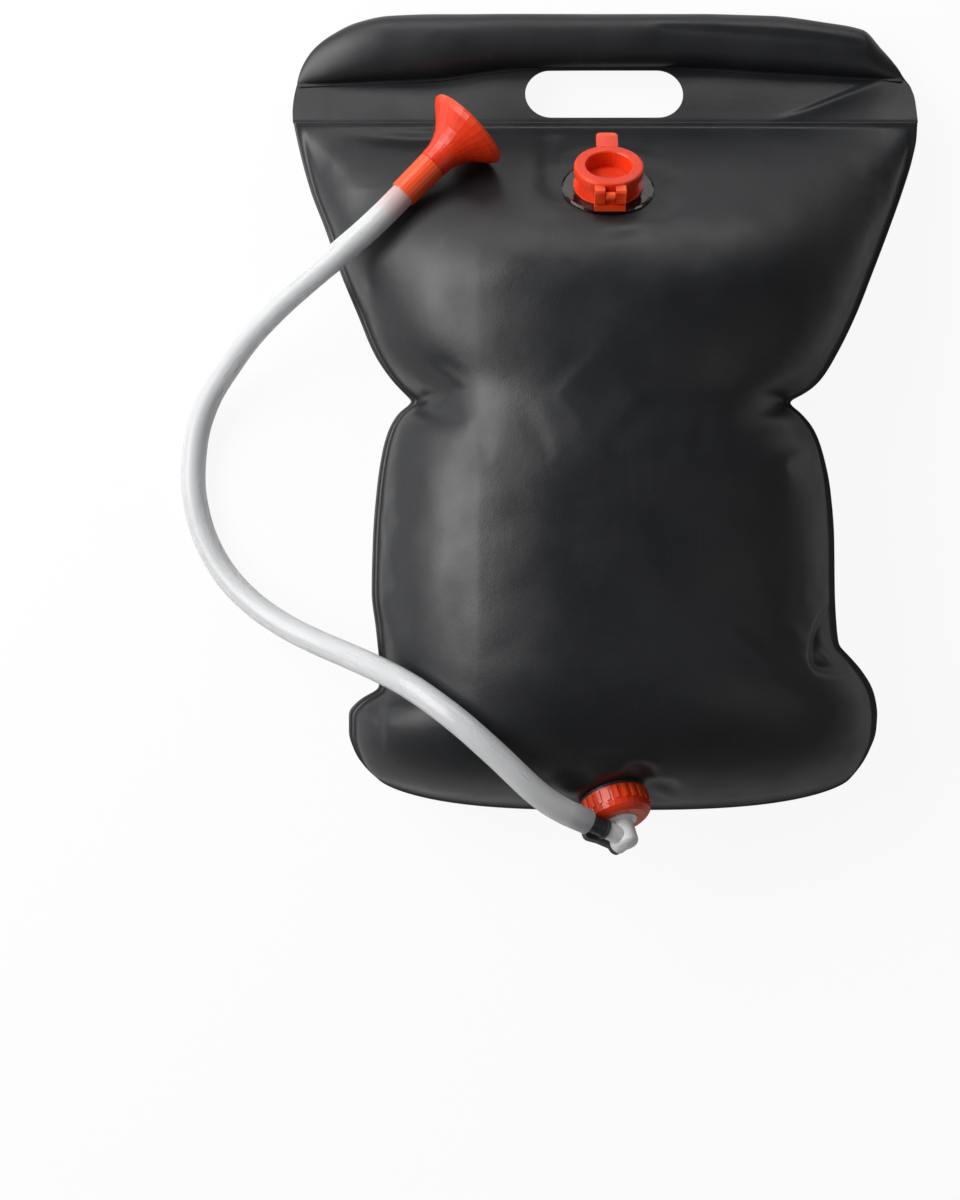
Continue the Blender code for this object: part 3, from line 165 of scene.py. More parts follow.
# Sleeve at several shares across: its low edge, high edge and thickness as shares
STATIONS = np.array([
    (-0.983, 0.362, 0.400, 0.05), (-0.975, 0.366, 0.480, 0.10), (-0.957, 0.370, 0.588, 0.20),
    (-0.929, 0.374, 0.694, 0.34), (-0.870, 0.382, 0.820, 0.60),
    (-0.788, 0.394, 0.928, 0.82), (-0.684, 0.408, 0.986, 0.94), (-0.533, 0.428, 1.000, 1.00),
    (-0.290, 0.512, 1.000, 1.00), (0.000, 0.518, 1.000, 1.00), (0.300, 0.520, 1.000, 1.00),
    (0.541, 0.482, 0.983, 1.00), (0.709, 0.456, 0.925, 0.92), (0.834, 0.435, 0.861, 0.74),
    (0.895, 0.426, 0.692, 0.40), (0.932, 0.421, 0.580, 0.20), (0.955, 0.419, 0.495, 0.10),
    (0.966, 0.418, 0.440, 0.05),
])

# Web: share of its height, and its left and right edge as shares of the half width
WEB_EDGES = np.array([
    (0.00, -0.991, 1.000), (0.30, -0.994, 0.9995), (0.50, -0.993, 0.998), (0.75, -0.989, 0.989),
    (1.00, -0.982, 0.965),
])
WEB_THICKNESS = 0.0013
WEB_LAPS = (0.001, 0.002)
WEB_FREE = 0.036
WEB_UNEVEN = 0.0012
WEB_GRID = (26, 220)
SLOT_STEPS = 24
SLOT_REACH = (-0.01, 0.05)

# Sleeve round the rod: its grid, its section, and half its thickness where it is pinched
SLEEVE_RINGS = 190
SLEEVE_SIDES = 56
SLEEVE_CROWDING = 0.6
SLEEVE_POWER = 0.86
SLEEVE_PINCHED = 0.0008
SLEEVE_TOP = 0.0302
SLEEVE_FREE = 0.006
SLEEVE_UNEVEN = 0.0007
SLEEVE_MERGE = 1e-6

# Weld strip along the sleeve, wider away from the slot and thicker than the web
STRIP_INSET = 0.004
STRIP_GRID = (4, 260)
STRIP_LAP = 0.0012
STRIP_WIDTH = 0.0009
STRIP_WIDENING = 0.0016
STRIP_FADE_START = 0.002
STRIP_FADE = 0.008
STRIP_THICKENING = 0.0013
STRIP_BEVEL = 0.0004

# Seats of the two ports: origin, normal, flat radius, where the sheet is back in its own shape, and puckers
FILL_SEAT = {
    "origin": (-0.0010, 0.14246, 0.08006), "normal": (0.0, 0.6984, 0.7157),
    "flat": 0.0296, "reach": 0.050, "hole": 0.0185,
    "puckers": 5, "depth": 0.0009, "turn": 0.4,
}
OUTLET_SEAT = {
    "origin": (0.00226, -0.23317, 0.07457), "normal": (0.2387, -0.8325, 0.5000),
    "flat": 0.0226, "reach": 0.044, "hole": 0.0120,
    "puckers": 7, "depth": 0.0022, "turn": 1.1,
}
SEATS = (FILL_SEAT, OUTLET_SEAT)
SKIN_LIFT = 0.0001
PUCKER_SWAY = 0.8
HOLE_DEPTH = 0.003

# Folds laid before the cloth run, in plan: kind, height, width, where it is strongest, and its line
SOFT_FOLDS = [
    ("crease", -0.0120, 0.0085, "start", [(-0.1226, 0.0141), (-0.1046, 0.0039), (-0.0830, -0.0077)]),
    ("crease", -0.0120, 0.0080, "start", [(0.1147, 0.0128), (0.0925, 0.0058), (0.0685, -0.0016)]),
    ("crease", 0.0030, 0.0050, "start", [(0.1351, -0.0138), (0.1086, -0.0231), (0.0834, -0.0302)]),
    ("crease", -0.0040, 0.0055, "start", [(0.1266, -0.0003), (0.1041, -0.0113), (0.0829, -0.0178)]),
    ("crease", -0.0080, 0.0065, "both", [
        (-0.1842, 0.1967), (-0.1487, 0.1890), (-0.1117, 0.1847), (-0.0800, 0.1878)]),
    ("crease", 0.0030, 0.0080, "start", [
        (-0.1959, 0.2000), (-0.1806, 0.1821), (-0.1598, 0.1501), (-0.1444, 0.1182)]),
    ("crease", 0.0022, 0.0050, "both", [
        (-0.0260, -0.2150), (-0.0109, -0.2070), (0.0053, -0.2060), (0.0302, -0.2140)]),
]

# Folds laid after it, which stay sharp
FIRM_FOLDS = [
    ("crease", -0.0045, 0.0070, "both", [
        (-0.0272, 0.1912), (-0.0367, 0.1727), (-0.0377, 0.1489), (-0.0301, 0.1303)]),
    ("crease", 0.0018, 0.0065, "both", [(-0.0437, 0.1837), (-0.0473, 0.1561), (-0.0461, 0.1214)]),
    ("tuck", -0.0150, 0.0150, "both", [
        (0.1453, -0.1119), (0.1308, -0.1194), (0.1235, -0.1353), (0.1212, -0.1526), (0.1290, -0.1579),
        (0.1504, -0.1580)]),
    ("tuck", -0.0070, 0.0120, "end", [
        (-0.1400, -0.2120), (-0.1388, -0.1930), (-0.1400, -0.1780), (-0.1440, -0.1680)]),
    ("bend", -0.0026, 0.0220, "both", [(-0.0812, -0.1960), (-0.0812, 0.0080), (-0.0812, 0.1467)]),
    ("bend", -0.0012, 0.0220, "both", [(0.0345, 0.1665), (0.0291, 0.0080), (0.0333, -0.1760)]),
]

# Folds of the handle
WEB_FOLDS = [
    ("tuck", 0.0045, 0.0120, "both", [
        (0.1890, 0.2320), (0.1537, 0.2159), (0.1258, 0.2039), (0.1050, 0.1985)]),
]
SLEEVE_FOLDS = [
    ("tuck", -0.0025, 0.0140, "both", [
        (0.1700, 0.2490), (0.1572, 0.2510), (0.1071, 0.2558), (0.0300, 0.2600)]),
]
FOLD_ENDING = 0.7
FOLD_ROOM = 0.7
TUCK_START = 0.001
TUCK_RISE = 0.004
FREE_RISE = 0.014

# Unevenness of the sheets: height and scale
FRONT_UNEVEN = ((0.0009, 14), (0.0004, 42))
WEB_SCALE = 22
SLEEVE_SCALE = 30
SEED = 20.0

# Cloth run of the filled skin
CLOTH = {
    "quality": 5,
    "mass": 0.4,
    "tension_stiffness": 25,
    "compression_stiffness": 25,
    "shear_stiffness": 12,
    "bending_stiffness": 5,
    "use_pressure": True,
    "uniform_pressure_force": 4,
    "shrink_min": -0.003,
    "vertex_group_mass": "held",
}
SETTLE_FRAMES = 20
SETTLE_CAP = 0.0035
HELD_MARGIN = 0.003
HELD_DEPTH = 0.004

# Where its wrinkles show: start and width of the fades at both ends and round the fill port
FOOT_FADE = (0.05, 0.20)
HEAD_FADE = (0.98, 0.18)
PORT_FADE = (0.05, 0.12)
WRINKLE_LEAST = 0.15
WRINKLE_MORE = 0.65

# Sheet pressed down under the hose and the shower head
LOAD_GAP = 0.0004
LOAD_BLUR = 12
RAY_START = -0.05

# Sockets of the mix node: its two colours and the mixed one
MIX_COLOURS = (6, 7)
MIX_RESULT = 2

# Light
FLOOR_REACH = 30
FLOOR_GREY = 0.86
FLOOR_GLOW = 0.92
WORLD_LIGHT = 0.12
LAMPS = [
    ("key", (-1.15, 0.45, 0.90), (0.0, 0.05, 0.05), (1.7, 0.9), 30),
    ("top", (0.0, 1.30, 0.58), (0.0, 0.15, 0.04), (1.6, 0.4), 6),
    ("fill", (0.9, -0.5, 1.0), (0.0, 0.0, 0.05), (0.9, 0.9), 1),
]


# Helpers for objects


def add_object(name, data):
    obj = bpy.data.objects.new(name, data)
    bpy.context.scene.collection.objects.link(obj)
    return obj


def mesh_object(name, points, faces):
    mesh = bpy.data.meshes.new(name)
    mesh.from_pydata(points, [], faces)
    return add_object(name, mesh)


def grid_object(name, points):
    """A sheet of faces over a grid of points."""
    rows, columns = points.shape[:2]
    faces = [(a, a + 1, a + columns + 1, a + columns)
             for i in range(rows - 1) for a in range(i * columns, (i + 1) * columns - 1)]
    return mesh_object(name, points.reshape(-1, 3).tolist(), faces)


def shade(obj, sharp_angle):
    obj.data.shade_smooth()
    obj.data.set_sharp_from_angle(angle=math.radians(sharp_angle))


def apply_modifiers(obj):
    graph = bpy.context.evaluated_depsgraph_get()
    graph.update()
    mesh = bpy.data.meshes.new_from_object(obj.evaluated_get(graph))
    old = obj.data
    obj.modifiers.clear()
    obj.data = mesh
    bpy.data.meshes.remove(old)


def coordinates(mesh):
    values = np.zeros(len(mesh.vertices) * 3)
    mesh.vertices.foreach_get("co", values)
    return values.reshape(-1, 3)


def set_coordinates(mesh, values):
    mesh.vertices.foreach_set("co", values.astype(np.float32).ravel())
    mesh.update()


# Helpers for curves


def smooth_step(t):
    t = np.clip(t, 0.0, 1.0)
    return t * t * (3 - 2 * t)


def hermite(at, xs, ys):
    """A smooth curve through a table's points that never overshoots them."""
    step, slope = np.diff(xs), np.diff(ys) / np.diff(xs)
    tangent = np.zeros(len(xs))
    tangent[0], tangent[-1] = slope[0], slope[-1]
    for i in range(1, len(xs) - 1):
        if slope[i - 1] * slope[i] > 0:
            a, b = 2 * step[i] + step[i - 1], step[i] + 2 * step[i - 1]
            tangent[i] = (a + b) / (a / slope[i - 1] + b / slope[i])
    i = np.clip(np.searchsorted(xs, at, "right") - 1, 0, len(step) - 1)
    t = np.clip((at - xs[i]) / step[i], 0, 1)
    rise = t * t * (3 - 2 * t)
    return (ys[i] + (ys[i + 1] - ys[i]) * rise + step[i] * t * (1 - t) * (
        (1 - t) * tangent[i] - t * tangent[i + 1]))


def through(at, xs, ys, corners=()):
    """Such a curve in parts, which meet at sharp corners."""
    at = np.asarray(at, float)
    out = np.zeros(at.shape)
    ends = [xs[0], *corners, xs[-1]]
    for low, high in zip(ends, ends[1:]):
        part, here = (xs >= low) & (xs <= high), (at >= low) & (at <= high)
        out[here] = hermite(at[here], xs[part], ys[part])
    return out


def uneven(points, scale):
    return np.array([noise.noise(Vector(p) * scale + Vector((SEED, 0, 0))) for p in points])


# Camera and hose


def make_camera():
    data = bpy.data.cameras.new("camera")
    data.sensor_width = SENSOR_WIDTH
    data.lens = CAMERA_LENS
    camera = add_object("camera", data)
    camera.location = CAMERA_PLACE
    bpy.context.scene.camera = camera


def smooth_line(route, steps):
    """A centripetal curve through the route's points."""
    padded = [route[0] * 2 - route[1], *route, route[-1] * 2 - route[-2]]
    line = []
    for a, b, c, d in zip(padded, padded[1:], padded[2:], padded[3:]):
        t1 = math.sqrt((b - a).length)
        t2 = t1 + math.sqrt((c - b).length)
        t3 = t2 + math.sqrt((d - c).length)
        for i in range(steps):
            t = t1 + (t2 - t1) * i / steps
            p = a.lerp(b, t / t1)
            q = b.lerp(c, (t - t1) / (t2 - t1))
            r = c.lerp(d, (t - t2) / (t3 - t2))
            line.append(p.lerp(q, t / t2).lerp(q.lerp(r, (t - t1) / (t3 - t1)), (t - t1) / (t2 - t1)))
    return [*line, route[-1].copy()]


def hose_line():
    """The hose's middle, straight where it leaves the tap's tail and enters the head's socket."""
    start, leaving = Vector(HOSE_START), Vector(HOSE_LEAVING)
    head, entering = Vector(HEAD_PLACE), Vector(HEAD_DIRECTION)
    half, whole = HOSE_DIAMETER / 2, HOSE_DIAMETER
    route = [start, start + leaving * half, start + leaving * whole, *[Vector(p) for p in HOSE_ROUTE]]
    route += [head - entering * whole, head - entering * half, head + entering * SOCKET_REACH]
    return smooth_line(route, HOSE_STEPS)


def pipe(name, line, radii, sides):
    """A tube with a wall between two radii along a line, which remembers where its points lie unbent."""
    ahead = (line[1] - line[0]).normalized()
    across = ahead.orthogonal().normalized()
    points, straight, faces = [], [], []
    gone = 0.0
    for i, place in enumerate(line):
        new = (line[min(i + 1, len(line) - 1)] - line[max(i - 1, 0)]).normalized()
        across = (ahead.rotation_difference(new) @ across).normalized()
        ahead = new
        gone += (place - line[max(i - 1, 0)]).length
        for radius in radii:
            for k in range(sides):
                turn = 2 * math.pi * k / sides
                out = across * math.cos(turn) + ahead.cross(across) * math.sin(turn)
                points.append(tuple(place + out * radius))
                straight += [radius * math.cos(turn), radius * math.sin(turn), gone]
    ring = 2 * sides
    last = (len(line) - 1) * ring
    for a in range(0, last, ring):
        b = a + sides
        for k in range(sides):
            n = (k + 1) % sides
            faces.append((a + k, a + n, a + ring + n, a + ring + k))
            faces.append((b + n, b + k, b + ring + k, b + ring + n))
    for k in range(sides):
        n = (k + 1) % sides
        faces.append((n, k, sides + k, sides + n))
        faces.append((last + k, last + n, last + sides + n, last + sides + k))
    made = mesh_object(name, points, faces)
    shade(made, 50)
    made.data.attributes.new("straight", "FLOAT_VECTOR", "POINT").data.foreach_set("vector", straight)
    return made


def make_hose():
    line = hose_line()
    hose = pipe("hose_tube", line, (HOSE_DIAMETER / 2, HOSE_BORE / 2), HOSE_SIDES)
    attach(hose, "bag")
    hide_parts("hose")
    return hose


# Surface of the bag, over shares across and along it


def edges_at(along):
    """Left and right edge over the length, with the notches and lobes sharp."""
    left = through(along, ROWS[:, 0], ROWS[:, 1], LEFT_CORNERS)
    right = through(along, ROWS[:, 0], ROWS[:, 2], RIGHT_CORNERS)
    return left * HALF_WIDTH, right * HALF_WIDTH


def calmed(values):
    """Values along the bag with their sharp turns spread out."""
    kernel = np.exp(-(np.arange(-CALM_REACH, CALM_REACH + 1) / CALM_WIDTH) ** 2)
    before = 2 * values[0] - values[CALM_REACH:0:-1]
    after = 2 * values[-1] - values[-2:-CALM_REACH - 2:-1]
    return np.convolve(np.concatenate([before, values, after]), kernel / kernel.sum(), "valid")


FINE = np.linspace(0, 1, CALM_STEPS)
EDGES = edges_at(FINE)
CALM_EDGES = [calmed(values) for values in EDGES]
SPREAD = (CALM_EDGES[1] - CALM_EDGES[0]) / 2
EXCESS = [CALM_EDGES[0] - EDGES[0], EDGES[1] - CALM_EDGES[1]]
RIM_STARTS = [1 - RIM_WIDTH / np.maximum(SPREAD + EDGE_POWER * more, SPREAD / 2) for more in EXCESS]
CALM_RIM_STARTS = [calmed(values) for values in RIM_STARTS]


def plan(across, along):
    """X of a point: the welded edges are sharp, and the sheet between them follows them calmly."""
    left, right = edges_at(along)
    calm_left, calm_right = (np.interp(along, FINE, values) for values in CALM_EDGES)
    x = calm_left + (calm_right - calm_left) * (across + 1) / 2
    return x + np.where(across < 0, left - calm_left, right - calm_right) * np.abs(across) ** EDGE_POWER


def rim_start(across, along):
    """Share across at which the rim starts, as it is at the edge and as the middle feels it."""
    sharp = np.where(across < 0, *(np.interp(along, FINE, values) for values in RIM_STARTS))
    calm = np.where(across < 0, *(np.interp(along, FINE, values) for values in CALM_RIM_STARTS))
    return sharp, calm + (sharp - calm) * smooth_step((np.abs(across) - RIM_BLEND_START) / RIM_BLEND_WIDTH)


def bottom_sag(across, along):
    fade = np.maximum(0, 1 - along / SAG_REACH)
    return BOTTOM_SAG * np.maximum(0, 1 - np.abs(across) ** SAG_CORNER_POWER) ** SAG_POWER * fade * fade


def seam_height(along):
    return SEAM_HEIGHT + (WELD_HEIGHT - SEAM_HEIGHT) * smooth_step((along - SEAM_FALL) / (1 - SEAM_FALL))


def rounding(share):
    """A quarter circle from 0 to 1."""
    return np.sqrt(1 - (1 - share) ** 2)


def quarter_wave(share):
    return np.sin(math.pi / 2 * share)


def crown(across, along, bottom_round, top_round, top_shape):
    """Height share of the bag, from 0 at the inner edge of the rim to 1 in the middle."""
    edge, inner = rim_start(across, along)
    over = np.maximum(0, 1 - (np.minimum(np.abs(across), edge) / inner) ** CROWN_POWER) ** 0.5
    low = np.clip((CHAMBER_LENGTH * along - bottom_sag(across, along) + bottom_sag(across, 0 * along)
                   - RIM_WIDTH) / bottom_round, 0, 1)
    high = np.clip((CHAMBER_LENGTH * (1 - along) - RIM_WIDTH) / top_round, 0, 1)
    return over * rounding(low) * top_shape(high)


def front_height(across, along):
    rise = crown(across, along, BOTTOM_ROUND, TOP_ROUND, quarter_wave)
    waist = np.exp(-((along - WAIST) / WAIST_SPREAD) ** 2)
    return seam_height(along) + RIM_THICKNESS + FRONT_CROWN * rise * (1 - WAIST_DIP * waist)


def back_height(across, along):
    depth = crown(across, along, BACK_ROUND, BACK_ROUND, rounding)
    return np.maximum(FLOOR_GAP, seam_height(along) - RIM_THICKNESS - BACK_CROWN * depth)


def chamber_grid():
    """Shares across and along for every grid point, closer together at the edges."""
    rim = RIM_WIDTH / CHAMBER_LENGTH
    bend = np.linspace(0, 1, GRID_ROWS - 2 * RIM_LINES)
    bend = rim + (1 - 2 * rim) * (bend - ROW_CROWDING * np.sin(2 * math.pi * bend) / math.pi)
    along = np.concatenate([[0, rim / 2], bend, [1 - rim / 2, 1]])
    swing = np.linspace(-1, 1, GRID_COLUMNS - 2 * RIM_LINES)
    swing = swing + COLUMN_CROWDING * np.sin(math.pi * swing) / math.pi
    sides = np.array([rim_start(np.full_like(along, side), along)[0] for side in (-1, 1)])
    inner = np.where(swing[None, :] < 0, sides[0][:, None], sides[1][:, None])
    edges = (1 + sides) / 2
    one = np.ones((len(along), 1))
    across = np.hstack([-one, -edges[0][:, None], swing[None, :] * inner, edges[1][:, None], one])
    return across, np.repeat(along[:, None], across.shape[1], axis=1)


def chamber_points(height):
    across, along = chamber_grid()
    x = plan(across, along)
    y = CORNER_Y + CHAMBER_LENGTH * along - bottom_sag(across, along)
    return np.stack([x, y, height(across, along)], axis=2).reshape(-1, 3)


# Seats and folds


def seat_place(points, seat):
    """Normal of a port's seat, then each point's height over it, distance from its axis and turn round it."""
    normal = np.array(seat["normal"])
    normal /= np.linalg.norm(normal)
    away = points - np.array(seat["origin"])
    depth = away @ normal
    flat = away - depth[:, None] * normal
    side = np.cross(normal, (1.0, 0.0, 0.0))
    turn = np.arctan2(flat @ (side / np.linalg.norm(side)), flat[:, 0])
    return normal, depth, np.linalg.norm(flat, axis=1), turn


def press_to_seat(points, seat):
    """Lays the sheet flat under a port's flange, and eases it back to its own shape in puckers."""
    normal, depth, radius, turn = seat_place(points, seat)
    near = (radius < seat["reach"]) & (np.abs(depth) < seat["reach"])
    out = (radius - seat["flat"]) / (seat["reach"] - seat["flat"])
    hold = np.where(near, 1 - smooth_step(out), 0)
    wave = np.cos(seat["puckers"] * turn + seat["turn"] + PUCKER_SWAY * np.sin(2 * turn))
    ring = np.where(near, np.sin(math.pi * np.clip(out, 0, 1)) ** 2, 0)
    lift = (SKIN_LIFT - depth) * hold + seat["depth"] * wave * ring
    return points + lift[:, None] * normal


def beside(points, line):
    """Distance in plan from a line of points, on its left or right, and how far along it."""
    lengths = [math.dist(a, b) for a, b in zip(line, line[1:])]
    best = np.full(len(points), np.inf)
    side, share = np.zeros(len(points)), np.zeros(len(points))
    for i, (a, b) in enumerate(zip(line, line[1:])):
        a, way = np.array(a), (np.array(b) - np.array(a)) / lengths[i]
        away = points[:, :2] - a
        on = np.clip(away @ way, 0, lengths[i])
        off = np.linalg.norm(away - on[:, None] * way, axis=1)
        closer = off < best
        best = np.where(closer, off, best)
        side = np.where(closer, np.sign(way[0] * away[:, 1] - way[1] * away[:, 0]), side)
        share = np.where(closer, (sum(lengths[:i]) + on) / sum(lengths), share)
    return best, side, share


def rounded(line, times=3, cut=0.25):
    """Cuts the corners of a line, so that a fold bends softly."""
    for _ in range(times):
        soft = [line[0]]
        for a, b in zip(line, line[1:]):
            for at in (cut, 1 - cut):
                soft.append(tuple((1 - at) * p + at * q for p, q in zip(a, b)))
        line = [*soft, line[-1]]
    return line


def fold_heights(points, folds):
    """Height that the folds add: creases on both sides of their line, tucks and bends to its left."""
    total = np.zeros(len(points))
    for kind, amount, width, strongest, line in folds:
        off, side, share = beside(points, rounded(line))
        if strongest == "both":
            run = np.sin(math.pi * share) ** FOLD_ENDING
        else:
            run = smooth_step(share if strongest == "end" else 1 - share)
        inside = np.where(side > 0, off, -off)
        fall = np.exp(-np.maximum(inside, 0) / width)
        if kind == "crease":
            shape = np.exp(-(off / width) ** 2)
        elif kind == "bend":
            shape = 1 - fall
        else:
            shape = smooth_step((inside + TUCK_START) / TUCK_RISE) * fall
        total += amount * shape * run
    return total


def rise_over_weld(points, along):
    return points[:, 2] - seam_height(along).ravel() - RIM_THICKNESS


def folded(points, folds, along):
    """The sheet with its folds, which fade out at the welded edge."""
    rise = rise_over_weld(points, along)
    lift = np.maximum(fold_heights(points, folds) * smooth_step(rise / FREE_RISE), -FOLD_ROOM * rise)
    return points + np.stack([0 * rise, 0 * rise, lift], axis=1)


def front_points():
    """The front sheet with its seats, soft folds and slight unevenness."""
    along = chamber_grid()[1]
    points = folded(chamber_points(front_height), SOFT_FOLDS, along)
    free = smooth_step(rise_over_weld(points, along) / FREE_RISE)
    for height, scale in FRONT_UNEVEN:
        points[:, 2] += free * height * uneven(points, scale)
    for seat in SEATS:
        points = press_to_seat(points, seat)
    return points


# The filled skin


def chamber_object():
    """One closed skin of front sheet, back sheet and the edge of the welded rim."""
    rows, columns = GRID_ROWS, GRID_COLUMNS
    count = rows * columns
    faces = []
    for i in range(rows - 1):
        for j in range(columns - 1):
            a = i * columns + j
            quad = (a, a + 1, a + columns + 1, a + columns)
            faces.append(quad)
            faces.append(tuple(count + k for k in reversed(quad)))
    border = list(range(columns))
    border += [i * columns + columns - 1 for i in range(1, rows)]
    border += [(rows - 1) * columns + j for j in range(columns - 2, -1, -1)]
    border += [i * columns for i in range(rows - 2, 0, -1)]
    for a, b in zip(border, border[1:] + border[:1]):
        faces.append((a, a + count, b + count, b))
    skin = mesh_object("bag_skin", np.vstack([front_points(), chamber_points(back_height)]).tolist(), faces)
    skin.data.update()
    return skin


def held_points(points):
    """True on the welded rim, on the top weld and round the ports."""
    index = np.arange(len(points)) % (GRID_ROWS * GRID_COLUMNS)
    i, j = index // GRID_COLUMNS, index % GRID_COLUMNS
    held = (i <= RIM_LINES) | (i >= GRID_ROWS - 1 - RIM_LINES)
    held |= (j <= RIM_LINES) | (j >= GRID_COLUMNS - 1 - RIM_LINES)
    for seat in SEATS:
        _, depth, radius, _ = seat_place(points, seat)
        held |= (radius < seat["flat"] + HELD_MARGIN) & (np.abs(depth) < HELD_DEPTH)
    return held


def wrinkle_share(points, along):
    """How far the wrinkles may show: least at the two ends and round the fill port."""
    away = np.linalg.norm(points - np.array(FILL_SEAT["origin"]), axis=1)
    foot = smooth_step((along - FOOT_FADE[0]) / FOOT_FADE[1])
    head = smooth_step((HEAD_FADE[0] - along) / HEAD_FADE[1])
    port = smooth_step((away - PORT_FADE[0]) / PORT_FADE[1])
    return foot * head * (WRINKLE_LEAST + WRINKLE_MORE * port)


def settle(bag, along):
    """A short cloth run of the filled skin, held at its welds and ports, for the wrinkles of slack sheet."""
    scene = bpy.context.scene
    before = coordinates(bag.data)
    group = bag.vertex_groups.new(name="held")
    group.add([int(i) for i in np.flatnonzero(held_points(before))], 1.0, "REPLACE")
    cloth = bag.modifiers.new("settle", "CLOTH")
    for name, value in CLOTH.items():
        setattr(cloth.settings, name, value)
    cloth.settings.effector_weights.gravity = 0
    cloth.collision_settings.use_collision = False
    cloth.point_cache.frame_start = 1
    cloth.point_cache.frame_end = SETTLE_FRAMES
    for frame in range(1, SETTLE_FRAMES + 1):
        scene.frame_set(frame)
    apply_modifiers(bag)
    scene.frame_set(1)
    bag.vertex_groups.clear()
    move = coordinates(bag.data) - before
    far = np.linalg.norm(move, axis=1)
    move *= (wrinkle_share(before, along) * np.minimum(far, SETTLE_CAP) / np.maximum(far, 1e-9))[:, None]
    set_coordinates(bag.data, before + move)


def blurred(field, passes):
    for _ in range(passes):
        padded = np.pad(field, 1, mode="edge")
        field = (padded[:-2, 1:-1] + padded[2:, 1:-1] + padded[1:-1, :-2] + padded[1:-1, 2:]
                 + 2 * field) / 6
    return field


def press_under(bag, loads):
    """Lowers the front sheet where something rests on it, and keeps the back sheet off the floor."""
    points = coordinates(bag.data)
    trees = []
    for load in loads:
        faces = [face.vertices[:] for face in load.data.polygons]
        trees.append(BVHTree.FromPolygons([corner.co for corner in load.data.vertices], faces))
    count = GRID_ROWS * GRID_COLUMNS
    drop = np.zeros(count)
    for i in range(count):
        for tree in trees:
            hit = tree.ray_cast(Vector((points[i][0], points[i][1], RAY_START)), Vector((0, 0, 1)))[0]
            if hit is not None:
                drop[i] = max(drop[i], points[i][2] - hit.z + LOAD_GAP)
    field = drop.reshape(GRID_ROWS, GRID_COLUMNS)
    points[:count, 2] -= np.maximum(field, blurred(field, LOAD_BLUR)).ravel()
    points[:, 2] = np.maximum(points[:, 2], FLOOR_GAP)
    set_coordinates(bag.data, points)


def cut_holes(obj):
    """Opens the sheet under both ports."""
    shape = bmesh.new()
    shape.from_mesh(obj.data)
    gone = []
    for seat in SEATS:
        origin, normal = Vector(seat["origin"]), Vector(seat["normal"]).normalized()
        for face in shape.faces:
            away = face.calc_center_median() - origin
            depth = away.dot(normal)
            if abs(depth) < HOLE_DEPTH and (away - normal * depth).length < seat["hole"]:
                gone.append(face)
    bmesh.ops.delete(shape, geom=gone, context="FACES")
    shape.to_mesh(obj.data)
    shape.free()


def make_bag(loads):
    bag = chamber_object()
    along = chamber_grid()[1].ravel()
    settle(bag, np.tile(along, 2))
    points = coordinates(bag.data)
    front = slice(0, len(along))
    points[front] = folded(points[front], FIRM_FOLDS, along)
    set_coordinates(bag.data, points)
    press_under(bag, loads)
    finer = bag.modifiers.new("finer", "SUBSURF")
    finer.levels = 1
    apply_modifiers(bag)
    cut_holes(bag)
    shade(bag, 60)
    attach(bag, "bag")
    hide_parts("bag_front", "bag_back")
    return bag


# Handle


def station_at(share, column):
    return through(share, STATIONS[:, 0], STATIONS[:, column])


def sleeve_edge(share, column=1):
    """Y of the sleeve's low edge, or of its high one with column 2."""
    return WELD_Y + HANDLE_HEIGHT * station_at(share, column)


def web_height(x, y):
    """Height of the web's middle, which falls from the chamber's weld to the sleeve's low edge."""
    share = np.clip(x / HALF_WIDTH, STATIONS[0, 0], STATIONS[-1, 0])
    fall = np.clip((y - WELD_Y) / (HANDLE_HEIGHT * station_at(share, 1)), 0, 1)
    return WELD_HEIGHT + (SLEEVE_HEIGHT - WELD_HEIGHT) * fall


def web_points():
    """The web's sheet, which laps a little past the chamber's weld and into the sleeve."""
    rows, columns = WEB_GRID
    share = np.linspace(0, 1, columns)[None, :]
    up = np.linspace(0, 1, rows)[:, None]
    left, right = (hermite(up, WEB_EDGES[:, 0], WEB_EDGES[:, k]) for k in (1, 2))
    across = left + (right - left) * share
    foot = WELD_Y - WEB_LAPS[0]
    top = sleeve_edge(np.clip(across, STATIONS[0, 0], STATIONS[-1, 0])) + WEB_LAPS[1]
    y = foot + (top - foot) * up
    x = across * HALF_WIDTH
    return np.stack([x, y, web_height(x, y)], axis=2)


def slot_cutter():
    """A prism with round ends that cuts the hand slot."""
    radius = SLOT["width"] / 2
    half = SLOT["length"] / 2 - radius
    ring = []
    for side in (-1, 1):
        for k in range(SLOT_STEPS + 1):
            angle = math.pi * k / SLOT_STEPS - math.pi / 2
            x = SLOT["x"] + side * (half + radius * math.cos(angle))
            ring.append((x, SLOT["y"] + side * radius * math.sin(angle)))
    shape = bmesh.new()
    low, high = ([shape.verts.new((x, y, z)) for x, y in ring] for z in SLOT_REACH)
    shape.faces.new(list(reversed(low)))
    shape.faces.new(high)
    for i in range(len(ring)):
        j = (i + 1) % len(ring)
        shape.faces.new((low[i], low[j], high[j], high[i]))
    bmesh.ops.recalc_face_normals(shape, faces=shape.faces)
    mesh = bpy.data.meshes.new("slot_cutter")
    shape.to_mesh(mesh)
    shape.free()
    return add_object("slot_cutter", mesh)


